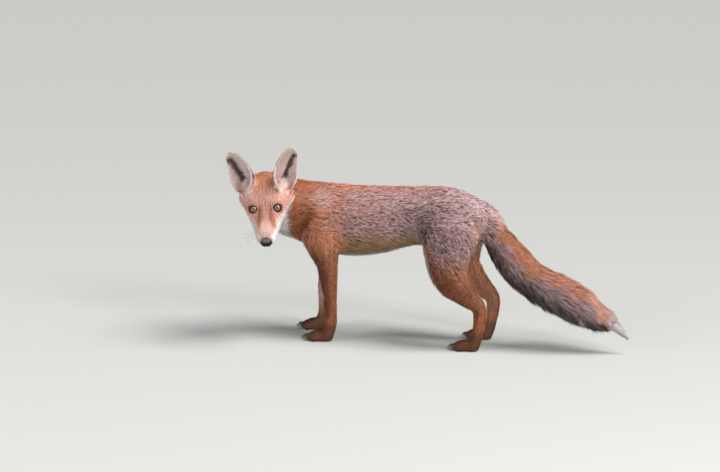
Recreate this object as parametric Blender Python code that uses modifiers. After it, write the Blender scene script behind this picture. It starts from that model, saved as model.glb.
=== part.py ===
"""Red fox, life size, standing on four paws with its head turned to its left.

The fox faces -X with its left side towards -Y, and its paws stand on z = 0. Sizes are in metres and are
measured over the coat. The flesh is lofted as one body, smoothed, and parted with thin cuts.
"""

import math

import bmesh
import bpy
import numpy as np
from mathutils import Matrix, Vector

# ---------------------------------------------------------------- driving sizes
VOXEL = 0.0026  # grain of the blended body before it is thinned
BODY_TRIANGLES = 4700
PARTING = 0.0004  # width of each thin cut between two parts
CLEARANCE = 0.0003  # gap round a part that sits in a socket

FAR_FORE_STEP = -0.038  # the right fore paw stands this far ahead of the left one
FAR_HIND_STEP = 0.008  # the right hind paw stands this far behind the left one

EYE_RADIUS = 0.0098
EYE_PLACE = (0.0018, 0.0254, 0.0024)  # the left eye's centre in the head's frame
NOSE_PLACE = (0.0755, 0.0, -0.0240)
NOSE_RADII = (0.0080, 0.0118, 0.0088)
MOUTH_HEIGHT = -0.0385  # the closed mouth's level in the head's frame
MOUTH_CORNER = 0.0270
EAR_FOOT = 0.16  # share of the length that is sunk in the head
EAR_WALL = 0.0026
EAR_SWEEP = 0.008  # how far the tip leans towards the outer edge
EAR_ROWS, EAR_COLUMNS = 11, 8
CLAW_LENGTH = 0.013  # with the part that is sunk in the toe
FORE_PAW = (0.044, 0.038)  # length and width
HIND_PAW = (0.044, 0.034)

# The head's own frame starts midway between the eyes: x forwards, y to the fox's left, z up.
HEAD_PLACE = Vector((-0.2725, -0.120, 0.307))
HEAD_YAW = math.radians(14.3)  # from the side's square-on direction, towards the tail
HEAD_PITCH = math.radians(37.0)  # muzzle below the horizontal
HEAD_ROLL = math.radians(5.0)  # crown leans over to the fox's right

COLOURS = {
    "coat_red": ((0.50, 0.20, 0.075), 0.85),
    "coat_grey": ((0.42, 0.29, 0.20), 0.85),
    "coat_white": ((0.80, 0.76, 0.70), 0.85),
    "ear_back": ((0.06, 0.045, 0.04), 0.8),
    "nose_skin": ((0.02, 0.018, 0.018), 0.4),
    "eye_amber": ((0.42, 0.24, 0.08), 0.1),
}

# ---------------------------------------------------------------- lofted forms
# Each station is (x, y, z, half width, reach above the path, reach below it).
TRUNK = (
    (0.202, 0.000, 0.290, 0.016, 0.016, 0.020),
    (0.184, 0.000, 0.287, 0.042, 0.034, 0.045),
    (0.150, 0.000, 0.284, 0.054, 0.057, 0.062),
    (0.095, 0.000, 0.282, 0.056, 0.070, 0.068),
    (0.030, 0.000, 0.280, 0.053, 0.069, 0.064),
    (-0.040, 0.000, 0.273, 0.058, 0.073, 0.078),
    (-0.105, 0.000, 0.267, 0.061, 0.078, 0.083),
    (-0.165, 0.000, 0.267, 0.059, 0.079, 0.079),
    (-0.207, 0.000, 0.268, 0.050, 0.072, 0.070),
    (-0.234, 0.000, 0.266, 0.034, 0.046, 0.050),
    (-0.248, 0.000, 0.264, 0.015, 0.020, 0.022),
)
NECK = (
    (-0.120, 0.000, 0.268, 0.050, 0.068, 0.070),
    (-0.180, 0.000, 0.277, 0.055, 0.071, 0.074),
    (-0.226, -0.006, 0.288, 0.054, 0.064, 0.073),
    (-0.258, -0.022, 0.303, 0.053, 0.058, 0.069),
    (-0.280, -0.046, 0.319, 0.050, 0.053, 0.059),
    (-0.286, -0.072, 0.328, 0.045, 0.048, 0.050),
)
TAIL = (
    (0.148, 0.000, 0.307, 0.026, 0.026, 0.026),
    (0.186, 0.000, 0.293, 0.030, 0.028, 0.030),
    (0.216, 0.000, 0.238, 0.037, 0.036, 0.036),
    (0.276, 0.000, 0.168, 0.043, 0.042, 0.044),
    (0.340, 0.000, 0.130, 0.044, 0.044, 0.045),
    (0.400, 0.000, 0.102, 0.042, 0.043, 0.043),
    (0.445, 0.000, 0.080, 0.029, 0.030, 0.030),
    (0.468, 0.000, 0.067, 0.015, 0.015, 0.015),
    (0.486, 0.000, 0.052, 0.009, 0.009, 0.009),
    (0.501, 0.000, 0.038, 0.003, 0.003, 0.003),
)
# Legs run downwards. Each station is (x, y, z, half width, reach forwards, reach backwards).
FORELEG = (
    (-0.168, 0.036, 0.292, 0.024, 0.034, 0.038),
    (-0.171, 0.044, 0.245, 0.028, 0.045, 0.045),
    (-0.161, 0.047, 0.203, 0.025, 0.036, 0.032),
    (-0.153, 0.047, 0.172, 0.020, 0.026, 0.023),
    (-0.149, 0.047, 0.130, 0.017, 0.021, 0.018),
    (-0.147, 0.047, 0.090, 0.0148, 0.0165, 0.015),
    (-0.147, 0.047, 0.056, 0.0152, 0.0150, 0.016),
    (-0.148, 0.047, 0.034, 0.0145, 0.0150, 0.014),
    (-0.153, 0.047, 0.016, 0.016, 0.016, 0.014),
    (-0.156, 0.047, 0.002, 0.014, 0.014, 0.012),
)
HINDLEG = (
    (0.130, 0.026, 0.300, 0.026, 0.050, 0.044),
    (0.120, 0.044, 0.250, 0.034, 0.064, 0.061),
    (0.118, 0.054, 0.200, 0.031, 0.054, 0.050),
    (0.128, 0.057, 0.160, 0.026, 0.046, 0.037),
    (0.158, 0.056, 0.125, 0.019, 0.029, 0.026),
    (0.184, 0.054, 0.100, 0.0145, 0.018, 0.019),
    (0.190, 0.053, 0.079, 0.0135, 0.016, 0.0155),
    (0.186, 0.052, 0.050, 0.0125, 0.0135, 0.0135),
    (0.181, 0.052, 0.026, 0.013, 0.0135, 0.0130),
    (0.175, 0.052, 0.012, 0.015, 0.015, 0.014),
    (0.173, 0.052, 0.001, 0.013, 0.013, 0.012),
)
# The head's stations, in its own frame, from the nose back to the neck.
HEAD = (
    (0.0770, 0.0, -0.0255, 0.0100, 0.0085, 0.0100),
    (0.0715, 0.0, -0.0265, 0.0155, 0.0120, 0.0155),
    (0.0600, 0.0, -0.0265, 0.0215, 0.0140, 0.0200),
    (0.0400, 0.0, -0.0240, 0.0282, 0.0155, 0.0240),
    (0.0200, 0.0, -0.0180, 0.0352, 0.0175, 0.0310),
    (0.0050, 0.0, -0.0110, 0.0430, 0.0200, 0.0390),
    (-0.0150, 0.0, -0.0030, 0.0510, 0.0265, 0.0460),
    (-0.0350, 0.0, 0.0010, 0.0570, 0.0310, 0.0500),
    (-0.0580, 0.0, 0.0000, 0.0580, 0.0310, 0.0490),
    (-0.0800, 0.0, -0.0040, 0.0480, 0.0280, 0.0440),
    (-0.0940, 0.0, -0.0100, 0.0300, 0.0200, 0.0300),
)
# Each ear's foot and its rise in the head's frame, its length and its half width. The left one stands
# straighter and is turned a little more edge-on.
EARS = {
    "ear_left": ((-0.041, 0.0405, 0.0170), (-0.34, 0.22, 0.91), 0.102, 0.0262),
    "ear_right": ((-0.041, -0.0420, 0.0170), (-0.45, -0.23, 0.86), 0.096, 0.0278),
}


def head_frame():
    """The turn and place that carry the head's own frame into the fox's."""
    forward = Vector(
        (
            math.sin(HEAD_YAW) * math.cos(HEAD_PITCH),
            -math.cos(HEAD_YAW) * math.cos(HEAD_PITCH),
            -math.sin(HEAD_PITCH),
        )
    )
    left = Vector((0, 0, 1)).cross(forward).normalized()
    up = forward.cross(left)
    turn = Matrix((forward, left, up)).transposed().to_4x4()
    return Matrix.Translation(HEAD_PLACE) @ turn @ Matrix.Rotation(HEAD_ROLL, 4, "X")


HEAD_FRAME = head_frame()


def smooth_rows(stations, steps):
    """Catmull-Rom rows through the stations, with this many steps to a span."""
    rows = np.array(stations, float)
    rows = np.vstack([2 * rows[0] - rows[1], rows, 2 * rows[-1] - rows[-2]])
    found = []
    for i in range(1, len(rows) - 2):
        a, b, c, d = rows[i - 1 : i + 3]
        for t in np.arange(steps) / steps:
            found.append(
                0.5 * (2 * b + (c - a) * t + (2 * a - 5 * b + 4 * c - d) * t**2
                       + (3 * b - a - 3 * c + d) * t**3)
            )
    found.append(rows[-2])
    found = np.array(found)
    found[:, 3:] = np.maximum(found[:, 3:], 0.002)
    return found


def make_object(name, mesh, collection=None):
    obj = bpy.data.objects.new(name, mesh)
    (collection or bpy.context.scene.collection).objects.link(obj)
    return obj


def loft(name, stations, high=(0, 0, 1), steps=4, around=24):
    """A closed tube through the stations; `high` is the side that the fifth number reaches towards."""
    rows = smooth_rows(stations, steps)
    mesh = bmesh.new()
    rings = []
    for i, row in enumerate(rows):
        along = Vector(rows[min(i + 1, len(rows) - 1), :3] - rows[max(i - 1, 0), :3]).normalized()
        side = along.cross(Vector(high)).normalized()
        up = side.cross(along)
        ring = []
        for k in range(around):
            turn = 2 * math.pi * k / around
            reach = row[4] if math.sin(turn) > 0 else row[5]
            spot = Vector(row[:3]) + side * row[3] * math.cos(turn) + up * reach * math.sin(turn)
            ring.append(mesh.verts.new(spot))
        rings.append(ring)
    for one, two in zip(rings, rings[1:]):
        for k in range(around):
            mesh.faces.new((one[k], one[k - 1], two[k - 1], two[k]))
    mesh.faces.new(rings[0])
    mesh.faces.new(reversed(rings[-1]))
    bmesh.ops.recalc_face_normals(mesh, faces=mesh.faces)
    data = bpy.data.meshes.new(name)
    mesh.to_mesh(data)
    mesh.free()
    return make_object(name, data)


def ball(name, centre, radii, frame=Matrix.Identity(4), turn=Matrix.Identity(4), sides=24):
    """An ellipsoid with its centre and radii given in a frame."""
    mesh = bmesh.new()
    bmesh.ops.create_uvsphere(mesh, u_segments=sides, v_segments=sides // 2, radius=1.0)
    shape = Matrix.Translation(Vector(centre)) @ turn @ Matrix.Diagonal(Vector((*radii, 1.0)))
    bmesh.ops.transform(mesh, matrix=frame @ shape, verts=mesh.verts)
    data = bpy.data.meshes.new(name)
    mesh.to_mesh(data)
    mesh.free()
    return make_object(name, data)


def settled(obj):
    """The object with its modifiers worked into its mesh."""
    graph = bpy.context.evaluated_depsgraph_get()
    data = bpy.data.meshes.new_from_object(obj.evaluated_get(graph))
    obj.modifiers.clear()
    obj.data = data
    return obj


def joined(name, pieces):
    mesh = bmesh.new()
    for piece in pieces:
        data = piece.data.copy()
        data.transform(piece.matrix_world)
        mesh.from_mesh(data)
        bpy.data.objects.remove(piece)
    data = bpy.data.meshes.new(name)
    mesh.to_mesh(data)
    mesh.free()
    return make_object(name, data)


def combine(obj, other, operation):
    """A Boolean of obj with another object, worked in at once."""
    cut = obj.modifiers.new(operation.lower(), "BOOLEAN")
    cut.operation = operation
    cut.solver = "EXACT"
    cut.object = other
    settled(obj)
    bpy.data.objects.remove(other)
    return obj


# ---------------------------------------------------------------- limbs and features
def mirrored_stations(stations, side, step):
    """Leg stations for one side: -1 is the fox's left. The step moves the lower leg along the body."""
    top = stations[0][2]
    rows = []
    for x, y, z, *reach in stations:
        lowered = min(1.0, (top - z) / (0.7 * top))
        rows.append((x + step * lowered, side * y, z, *reach))
    return rows


def far_steps(side):
    """How far this side's fore and hind legs stand behind those of the left side."""
    return (FAR_FORE_STEP, FAR_HIND_STEP) if side > 0 else (0.0, 0.0)


def toe_places(heel, length, width):
    """The middles of a paw's four toes, forward of the point where the leg comes down."""
    for across, ahead in ((-0.36, 0.62), (-0.13, 0.78), (0.13, 0.78), (0.36, 0.62)):
        yield Vector((heel.x - ahead * length, heel.y + across * width, 0.0085))


def paw(heel, length, width):
    """Pad and toes of one paw, pointing forwards."""
    middle = (heel.x - 0.35 * length, heel.y, 0.0105)
    pieces = [ball("pad", middle, (0.48 * length, 0.44 * width, 0.0155))]
    for toe in toe_places(heel, length, width):
        pieces.append(ball("toe", toe, (0.25 * length, 0.145 * width, 0.0110)))
    return pieces


def claws(heel, length, width):
    """Four blunt claws, pointing forwards and a little down, as one object."""
    pieces = []
    for toe in toe_places(heel, length, width):
        mesh = bmesh.new()
        bmesh.ops.create_cone(
            mesh, cap_ends=True, segments=6, radius1=0.0022, radius2=0.0006, depth=CLAW_LENGTH
        )
        aim = Vector((-1.0, 0.0, -0.38))
        turn = Vector((0, 0, 1)).rotation_difference(aim).to_matrix().to_4x4()
        middle = toe + Vector((-0.22 * length, 0.0, 0.0012)) + aim.normalized() * 0.3 * CLAW_LENGTH
        bmesh.ops.transform(mesh, matrix=Matrix.Translation(middle) @ turn, verts=mesh.verts)
        data = bpy.data.meshes.new("claw")
        mesh.to_mesh(data)
        mesh.free()
        pieces.append(make_object("claw", data))
    return joined("claws", pieces)


def leg(name, stations, side, step, paw_size):
    rows = mirrored_stations(stations, side, step)
    tube = loft(name, rows, high=(-1, 0, 0), around=20)
    return [tube] + paw(Vector(rows[-1][:3]), *paw_size)


def head_forms():
    """Skull and muzzle, cheeks, brows, lips and chin."""
    skull = loft("skull", HEAD, high=(0, 0, 1), around=28)
    skull.data.transform(HEAD_FRAME)
    pieces = [skull]
    for side in (-1, 1):
        for centre, radii in (
            ((-0.046, 0.0392 * side, -0.012), (0.031, 0.0228, 0.030)),  # cheek
            ((-0.009, 0.0225 * side, 0.0125), (0.013, 0.013, 0.008)),  # brow
            ((0.055, 0.0120 * side, -0.0290), (0.019, 0.0110, 0.0110)),  # whisker pad
        ):
            pieces.append(ball("face", centre, radii, HEAD_FRAME))
    pieces.append(ball("chin", (0.052, 0.0, -0.0440), (0.020, 0.0125, 0.0070), HEAD_FRAME))
    return pieces


def ear(name):
    """One ear, a leaf cupped into a tube at its foot, walled by Solidify."""
    root, rise, length, half_width = EARS[name]
    side = math.copysign(1.0, rise[1])
    root = Vector(root)
    rise = Vector(rise).normalized()
    opening = Vector((0.88, 0.30 * side, 0.10))
    opening = (opening - rise * opening.dot(rise)).normalized()
    outward = rise.cross(opening)
    outward *= math.copysign(1.0, outward.y * side)
    mesh = bmesh.new()
    grid = []
    for i in range(EAR_ROWS):
        t = (1 + EAR_FOOT) * i / (EAR_ROWS - 1) - EAR_FOOT
        grown = min(1.0, max(0.0, t + 0.06) / 0.32) ** 0.7
        half = half_width * (0.50 + 0.50 * grown) * (1.0 - max(t, 0.0) ** 3.2) ** 0.60 + 0.0010
        wrap = math.radians(60 + 95 * (1 - t) ** 3)
        wrap = min(wrap, math.radians(155))
        radius = half / math.sin(min(wrap, math.pi / 2))
        line = []
        for k in range(EAR_COLUMNS):
            s = 2 * k / (EAR_COLUMNS - 1) - 1
            spot = (
                root
                + rise * length * t
                + outward * (radius * math.sin(wrap * s) + EAR_SWEEP * (t * t - 0.3))
                + opening * radius * (0.6 * max(t, 0.0) - math.cos(wrap * s))
            )
            line.append(mesh.verts.new(spot))
        grid.append(line)
    for low, high in zip(grid, grid[1:]):
        for k in range(EAR_COLUMNS - 1):
            mesh.faces.new((low[k], low[k + 1], high[k + 1], high[k]))
    bmesh.ops.transform(mesh, matrix=HEAD_FRAME, verts=mesh.verts)
    data = bpy.data.meshes.new(name)
    mesh.to_mesh(data)
    mesh.free()
    shell = make_object(name, data)
    wall = shell.modifiers.new("wall", "SOLIDIFY")
    wall.thickness = EAR_WALL
    wall.offset = 0.0
    settled(shell)
    mesh = bmesh.new()
    mesh.from_mesh(shell.data)
    bmesh.ops.recalc_face_normals(mesh, faces=mesh.faces)
    mesh.to_mesh(shell.data)
    mesh.free()
    return shell


# ---------------------------------------------------------------- the blended body
def blended_body():
    pieces = [
        loft("trunk", TRUNK, around=28),
        loft("neck", NECK, around=24),
        loft("tail", TAIL, around=20),
    ]
    for side in (-1, 1):
        fore_step, hind_step = far_steps(side)
        pieces += leg("foreleg", FORELEG, side, fore_step, FORE_PAW)
        pieces += leg("hindleg", HINDLEG, side, hind_step, HIND_PAW)
    pieces += head_forms()
    body = joined("body", pieces)
    blend = body.modifiers.new("blend", "REMESH")
    blend.mode = "VOXEL"
    blend.voxel_size = VOXEL
    soften = body.modifiers.new("soften", "SMOOTH")
    soften.factor = 0.5
    soften.iterations = 7
    settled(body)
    keep = body.vertex_groups.new(name="keep")
    to_head = HEAD_FRAME.inverted()
    for vertex in body.data.vertices:
        place = to_head @ vertex.co
        on_face = place.x > -0.05 and max(abs(place.y), abs(place.z)) < 0.07
        weight = 1.0 if on_face else 0.8 if vertex.co.z < 0.03 else 0.35
        keep.add((vertex.index,), 1.0 - 0.75 * weight, "REPLACE")
    thin = body.modifiers.new("thin", "DECIMATE")
    thin.ratio = BODY_TRIANGLES / (2 * len(body.data.polygons))
    thin.vertex_group = keep.name
    thin.vertex_group_factor = 1.0
    thin.use_collapse_triangulate = True
    settled(body)
    body.vertex_groups.clear()
    return body


# ---------------------------------------------------------------- parting the body
def slab(centre, normal, across, along):
    """A flat slab as thick as one thin cut. `across` and `along` are its half sizes in its own plane."""
    normal = Vector(normal).normalized()
    first = Vector((0, 1, 0)) if abs(normal.y) < 0.3 else Vector((1, 0, 0))
    second = normal.cross(first).normalized()
    first = second.cross(normal)
    turn = Matrix((first, second, normal)).transposed().to_4x4()
    size = Matrix.Diagonal((2 * across, 2 * along, PARTING, 1.0))
    mesh = bmesh.new()
    bmesh.ops.create_cube(mesh, size=1.0)
    bmesh.ops.transform(mesh, matrix=Matrix.Translation(Vector(centre)) @ turn @ size, verts=mesh.verts)
    data = bpy.data.meshes.new("slab")
    mesh.to_mesh(data)
    mesh.free()
    return make_object("slab", data)


def jaw_slab():
    """A thin L-shaped cut: along the line of the mouth, then down behind the lower jaw."""
    outline = (
        (0.100, MOUTH_HEIGHT),
        (MOUTH_CORNER, MOUTH_HEIGHT),
        (MOUTH_CORNER - 0.012, MOUTH_HEIGHT - 0.035),
        (MOUTH_CORNER - 0.012 - PARTING, MOUTH_HEIGHT - 0.035),
        (MOUTH_CORNER - PARTING, MOUTH_HEIGHT + PARTING),
        (0.100, MOUTH_HEIGHT + PARTING),
    )
    mesh = bmesh.new()
    verts = [mesh.verts.new((x, -0.05, z)) for x, z in outline]
    face = mesh.faces.new(verts)
    grown = bmesh.ops.extrude_face_region(mesh, geom=[face])["geom"]
    moved = [item for item in grown if isinstance(item, bmesh.types.BMVert)]
    bmesh.ops.translate(mesh, vec=(0, 0.10, 0), verts=moved)
    bmesh.ops.recalc_face_normals(mesh, faces=mesh.faces)
    bmesh.ops.transform(mesh, matrix=HEAD_FRAME, verts=mesh.verts)
    data = bpy.data.meshes.new("jaw_slab")
    mesh.to_mesh(data)
    mesh.free()
    return make_object("jaw_slab", data)


def islands(mesh):
    """The connected pieces of a bmesh, as lists of vertices."""
    found = []
    seen = set()
    for start in mesh.verts:
        if start in seen:
            continue
        seen.add(start)
        piece = [start]
        for vertex in piece:
            for edge in vertex.link_edges:
                other = edge.other_vert(vertex)
                if other not in seen:
                    seen.add(other)
                    piece.append(other)
        found.append(piece)
    return found


def part_off(body, name, cut, inside):
    """Cuts the body with a thin slab and moves the piece nearest to `inside` into an object of its own."""
    combine(body, cut, "DIFFERENCE")
    mesh = bmesh.new()
    mesh.from_mesh(body.data)
    bmesh.ops.remove_doubles(mesh, verts=mesh.verts, dist=1e-6)
    inside = Vector(inside)
    nearest = min(islands(mesh), key=lambda piece: min((vertex.co - inside).length for vertex in piece))
    mesh.verts.index_update()
    taken = {vertex.index for vertex in nearest}
    other = mesh.copy()
    bmesh.ops.delete(other, geom=[v for v in other.verts if v.index not in taken], context="VERTS")
    bmesh.ops.delete(mesh, geom=nearest, context="VERTS")
    data = bpy.data.meshes.new(name)
    other.to_mesh(data)
    mesh.to_mesh(body.data)
    other.free()
    mesh.free()
    return make_object(name, data)


def part_tail(body):
    """The tail in four lengths: (name, place on its path, direction there, half size of the cut)."""
    rest = body
    for name, (x, z), (along, down), reach in (
        ("tail_root", (0.200, 0.253), (0.79, -0.62), 0.058),
        ("tail_middle", (0.276, 0.168), (0.754, -0.657), 0.070),
        ("tail_end", (0.375, 0.113), (0.906, -0.423), 0.070),
        ("tail_tip", (0.452, 0.076), (0.87, -0.49), 0.045),
    ):
        cut = slab((x, 0.0, z), (along, 0.0, down), reach, reach)
        rest = part_off(rest, name, cut, (TAIL[-1][0], 0.0, TAIL[-1][2]))


def part_foreleg(body, word, side, step):
    """Shoulder to elbow, elbow to wrist, and the paw with its claws."""
    rows = mirrored_stations(FORELEG, side, step)
    elbow, wrist, heel = (Vector(rows[i][:3]) for i in (3, 6, 9))
    shoulder = (-0.168 + 0.25 * step, 0.0533 * side, 0.2208)
    level = (0, 0, -1)
    cut = slab(shoulder, (0, 0.83 * side, -0.56), 0.062, 0.058)
    upper = part_off(body, f"foreleg_{word}_upper", cut, wrist)
    lower = part_off(upper, f"foreleg_{word}_lower", slab(elbow, level, 0.035, 0.045), wrist)
    foot = part_off(lower, f"forepaw_{word}", slab(wrist, level, 0.025, 0.030), heel)
    combine(foot, claws(heel, *FORE_PAW), "UNION")


def part_hindleg(body, word, side, step):
    """Hip to knee, knee to hock, and the long hind foot with its claws."""
    rows = mirrored_stations(HINDLEG, side, step)
    hock, heel = Vector(rows[6][:3]), Vector(rows[10][:3])
    knee = Vector(rows[3][:3]).lerp(Vector(rows[4][:3]), 0.35)
    hip = (0.118 + 0.2 * step, 0.0488 * side, 0.2476)
    cut = slab(hip, (0, 0.839 * side, -0.545), 0.076, 0.060)
    upper = part_off(body, f"hindleg_{word}_upper", cut, hock)
    lower = part_off(upper, f"hindleg_{word}_lower", slab(knee, (0.65, 0, -0.76), 0.040, 0.055), hock)
    foot = part_off(lower, f"hindpaw_{word}", slab(hock, (0, 0, -1), 0.025, 0.030), heel)
    combine(foot, claws(heel, *HIND_PAW), "UNION")


def part_head(body):
    """The neck comes off the trunk, the head off the neck, and the lower jaw off the head."""
    face = HEAD_FRAME @ Vector((0.04, 0.0, 0.0))
    neck = part_off(body, "neck", slab((-0.198, 0.0, 0.275), (-0.902, 0.0, 0.432), 0.09, 0.11), face)
    head = part_off(neck, "head", slab((-0.285, -0.062, 0.330), (0, -0.995, -0.10), 0.140, 0.110), face)
    part_off(head, "lower_jaw", jaw_slab(), HEAD_FRAME @ Vector((0.06, 0.0, -0.05)))
    return head


# ---------------------------------------------------------------- details
def stand_on_floor(body):
    """Cuts the soles flat at z = 0."""
    mesh = bmesh.new()
    bmesh.ops.create_cube(mesh, size=2.0)
    bmesh.ops.translate(mesh, vec=(0, 0, -1.0), verts=mesh.verts)
    data = bpy.data.meshes.new("below_floor")
    mesh.to_mesh(data)
    mesh.free()
    combine(body, make_object("below_floor", data), "DIFFERENCE")


def seat_ball(body, name, centre, radii):
    """A rounded part in the head's frame, with a socket cut for it."""
    socket = ball("socket", centre, [radius + CLEARANCE for radius in radii], HEAD_FRAME, sides=14)
    combine(body, socket, "DIFFERENCE")
    return ball(name, centre, radii, HEAD_FRAME, sides=14)


def seat_ear(name, head):
    """An ear trimmed to the head, and clear of it."""
    flap = ear(name)
    swollen = make_object("swollen", head.data.copy())
    push = swollen.modifiers.new("push", "DISPLACE")
    push.strength = CLEARANCE
    push.mid_level = 0.0
    settled(swollen)
    combine(flap, swollen, "DIFFERENCE")
    mesh = bmesh.new()
    mesh.from_mesh(flap.data)
    for scrap in sorted(islands(mesh), key=len)[:-1]:
        bmesh.ops.delete(mesh, geom=scrap, context="VERTS")
    mesh.to_mesh(flap.data)
    mesh.free()


def finish_name(name):
    """Which of the colours a part has."""
    if name.startswith("ear"):
        return "ear_back"
    if name.startswith("eye"):
        return "eye_amber"
    if name == "nose":
        return "nose_skin"
    if name in ("tail_tip", "lower_jaw"):
        return "coat_white"
    if name in ("trunk", "hindquarters", "tail_middle", "tail_end"):
        return "coat_grey"
    if name.startswith("hindleg") and name.endswith("upper"):
        return "coat_grey"
    return "coat_red"


def paint(obj):
    """Gives an object its own Principled material."""
    colour, roughness = COLOURS[finish_name(obj.name)]
    material = bpy.data.materials.new(obj.name + "_finish")
    material.use_nodes = True
    shader = material.node_tree.nodes["Principled BSDF"]
    shader.inputs["Base Color"].default_value = (*colour, 1.0)
    shader.inputs["Roughness"].default_value = roughness
    shader.inputs["Metallic"].default_value = 0.0
    obj.data.materials.clear()
    obj.data.materials.append(material)
    obj.data.shade_smooth()


def centre_on_origin(objects):
    """Moves every mesh so that the middle of the whole box's foot is the origin."""
    points = np.array([vertex.co for obj in objects for vertex in obj.data.vertices])
    low, high = points.min(axis=0), points.max(axis=0)
    shift = Matrix.Translation((-(low[0] + high[0]) / 2, -(low[1] + high[1]) / 2, -low[2]))
    for obj in objects:
        obj.data.transform(shift)


# ---------------------------------------------------------------- assembly
for old in list(bpy.data.objects):
    bpy.data.objects.remove(old)

fox = bpy.data.collections.new("red_fox")
bpy.context.scene.collection.children.link(fox)

body = blended_body()
stand_on_floor(body)
seat_ball(body, "nose", NOSE_PLACE, NOSE_RADII)
for word, side in (("left", 1), ("right", -1)):
    centre = (EYE_PLACE[0], EYE_PLACE[1] * side, EYE_PLACE[2])
    seat_ball(body, f"eye_{word}", centre, (EYE_RADIUS,) * 3)

part_tail(body)
for word, side in (("left", -1), ("right", 1)):
    fore_step, hind_step = far_steps(side)
    part_foreleg(body, word, side, fore_step)
    part_hindleg(body, word, side, hind_step)
head = part_head(body)
part_off(body, "hindquarters", slab((0.050, 0, 0.28), (1, 0, 0), 0.08, 0.09), TRUNK[1][:3])
body.name = "trunk"
for name in EARS:
    seat_ear(name, head)

for obj in list(bpy.context.scene.collection.objects):
    bpy.context.scene.collection.objects.unlink(obj)
    fox.objects.link(obj)
    paint(obj)
centre_on_origin(list(fox.objects))
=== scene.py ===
# %% [markdown]
# # A red fox as a still, life-size museum model
# A museum model of a mammal is built from the inside out: a body form, a thin skin over it, glass eyes, and
# then the coat. This lesson keeps that order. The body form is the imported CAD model, so every place below
# is read from its parts' boxes, and nothing is placed by eye.

import math

import bmesh
import bpy
import numpy as np
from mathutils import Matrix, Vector
from mathutils.kdtree import KDTree


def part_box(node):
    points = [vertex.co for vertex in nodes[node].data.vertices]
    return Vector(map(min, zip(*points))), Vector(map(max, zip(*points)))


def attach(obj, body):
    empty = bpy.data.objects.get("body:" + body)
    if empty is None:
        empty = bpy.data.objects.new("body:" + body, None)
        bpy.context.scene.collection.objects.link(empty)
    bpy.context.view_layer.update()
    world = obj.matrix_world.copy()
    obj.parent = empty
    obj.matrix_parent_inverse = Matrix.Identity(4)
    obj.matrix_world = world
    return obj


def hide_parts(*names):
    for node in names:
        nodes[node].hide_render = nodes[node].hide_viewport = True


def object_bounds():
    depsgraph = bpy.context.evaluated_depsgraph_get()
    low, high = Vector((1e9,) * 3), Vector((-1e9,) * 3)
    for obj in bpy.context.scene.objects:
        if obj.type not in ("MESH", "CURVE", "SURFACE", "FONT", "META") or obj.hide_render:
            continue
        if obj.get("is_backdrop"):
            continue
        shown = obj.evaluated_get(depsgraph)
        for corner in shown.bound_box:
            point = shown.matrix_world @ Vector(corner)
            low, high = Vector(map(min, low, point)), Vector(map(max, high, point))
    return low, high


for startup in ("Cube", "Light", "Camera"):
    if startup in bpy.data.objects:
        bpy.data.objects.remove(bpy.data.objects[startup])

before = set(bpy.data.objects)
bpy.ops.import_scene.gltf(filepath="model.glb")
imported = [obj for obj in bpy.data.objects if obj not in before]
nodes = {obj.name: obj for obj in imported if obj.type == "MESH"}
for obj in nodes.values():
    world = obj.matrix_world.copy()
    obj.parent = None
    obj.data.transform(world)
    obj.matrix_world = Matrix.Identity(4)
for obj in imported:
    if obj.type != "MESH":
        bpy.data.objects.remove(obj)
cad_low, cad_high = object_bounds()
print("body form", len(nodes), "parts, box", [round(v, 3) for v in (*cad_low, *cad_high)])


def middle(name):
    low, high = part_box(name)
    return (low + high) / 2


# %% [markdown]
# ## The head's own directions
# The head is turned and tipped, so its features are easier to place in its own directions than in the
# room's. Three round parts fix these: the two eyes give the line across the face, and the nose gives the
# line forwards. An armature bone could hold the same frame, but a plain matrix is enough when nothing
# moves.

# %% Head frame from the eyes and the nose
eye_left, eye_right, nose_middle = middle("eye_left"), middle("eye_right"), middle("nose")
brow_middle = (eye_left + eye_right) / 2
NOSE_DROP = math.radians(19.7)  # the nose lies this far below the head's own forward line
across = (eye_left - eye_right).normalized()
to_nose = nose_middle - brow_middle
to_nose = (to_nose - across * to_nose.dot(across)).normalized()
over = to_nose.cross(across).normalized()
ahead = to_nose * math.cos(NOSE_DROP) + over * math.sin(NOSE_DROP)
above = ahead.cross(across).normalized()
HEAD_AXES = np.array([ahead, across, above])
HEAD_PLACE = np.array(brow_middle)
eye_low, eye_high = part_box("eye_left")
EYE_RADIUS = (eye_high.z - eye_low.z) / 2


def in_head(points):
    """Places in the head's frame: x forwards, y to the fox's left, z up, from midway between the eyes."""
    return (np.asarray(points) - HEAD_PLACE) @ HEAD_AXES.T


def from_head(points):
    return np.asarray(points) @ HEAD_AXES + HEAD_PLACE


def turned_from_head(directions):
    return np.asarray(directions) @ HEAD_AXES


print("eyes", round((eye_left - eye_right).length * 1000, 1), "mm apart")
print("eye radius", round(EYE_RADIUS * 1000, 1), "mm")
print("nose in the head's frame", in_head(nose_middle).round(4))

# %% [markdown]
# ## Camera
# A long lens from six metres keeps the animal free of perspective bulge, as a zoo or garden picture of a
# shy animal is taken. The camera circles the middle of the model's box, so it needs no number read off the
# scene.


# %% Set up the camera
def add_object(name, data):
    obj = bpy.data.objects.new(name, data)
    bpy.context.scene.collection.objects.link(obj)
    return obj


def look_along(obj, direction):
    """Cameras and lights look along their own -Z."""
    obj.rotation_mode = "QUATERNION"
    obj.rotation_quaternion = direction.to_track_quat("-Z", "Y")


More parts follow.
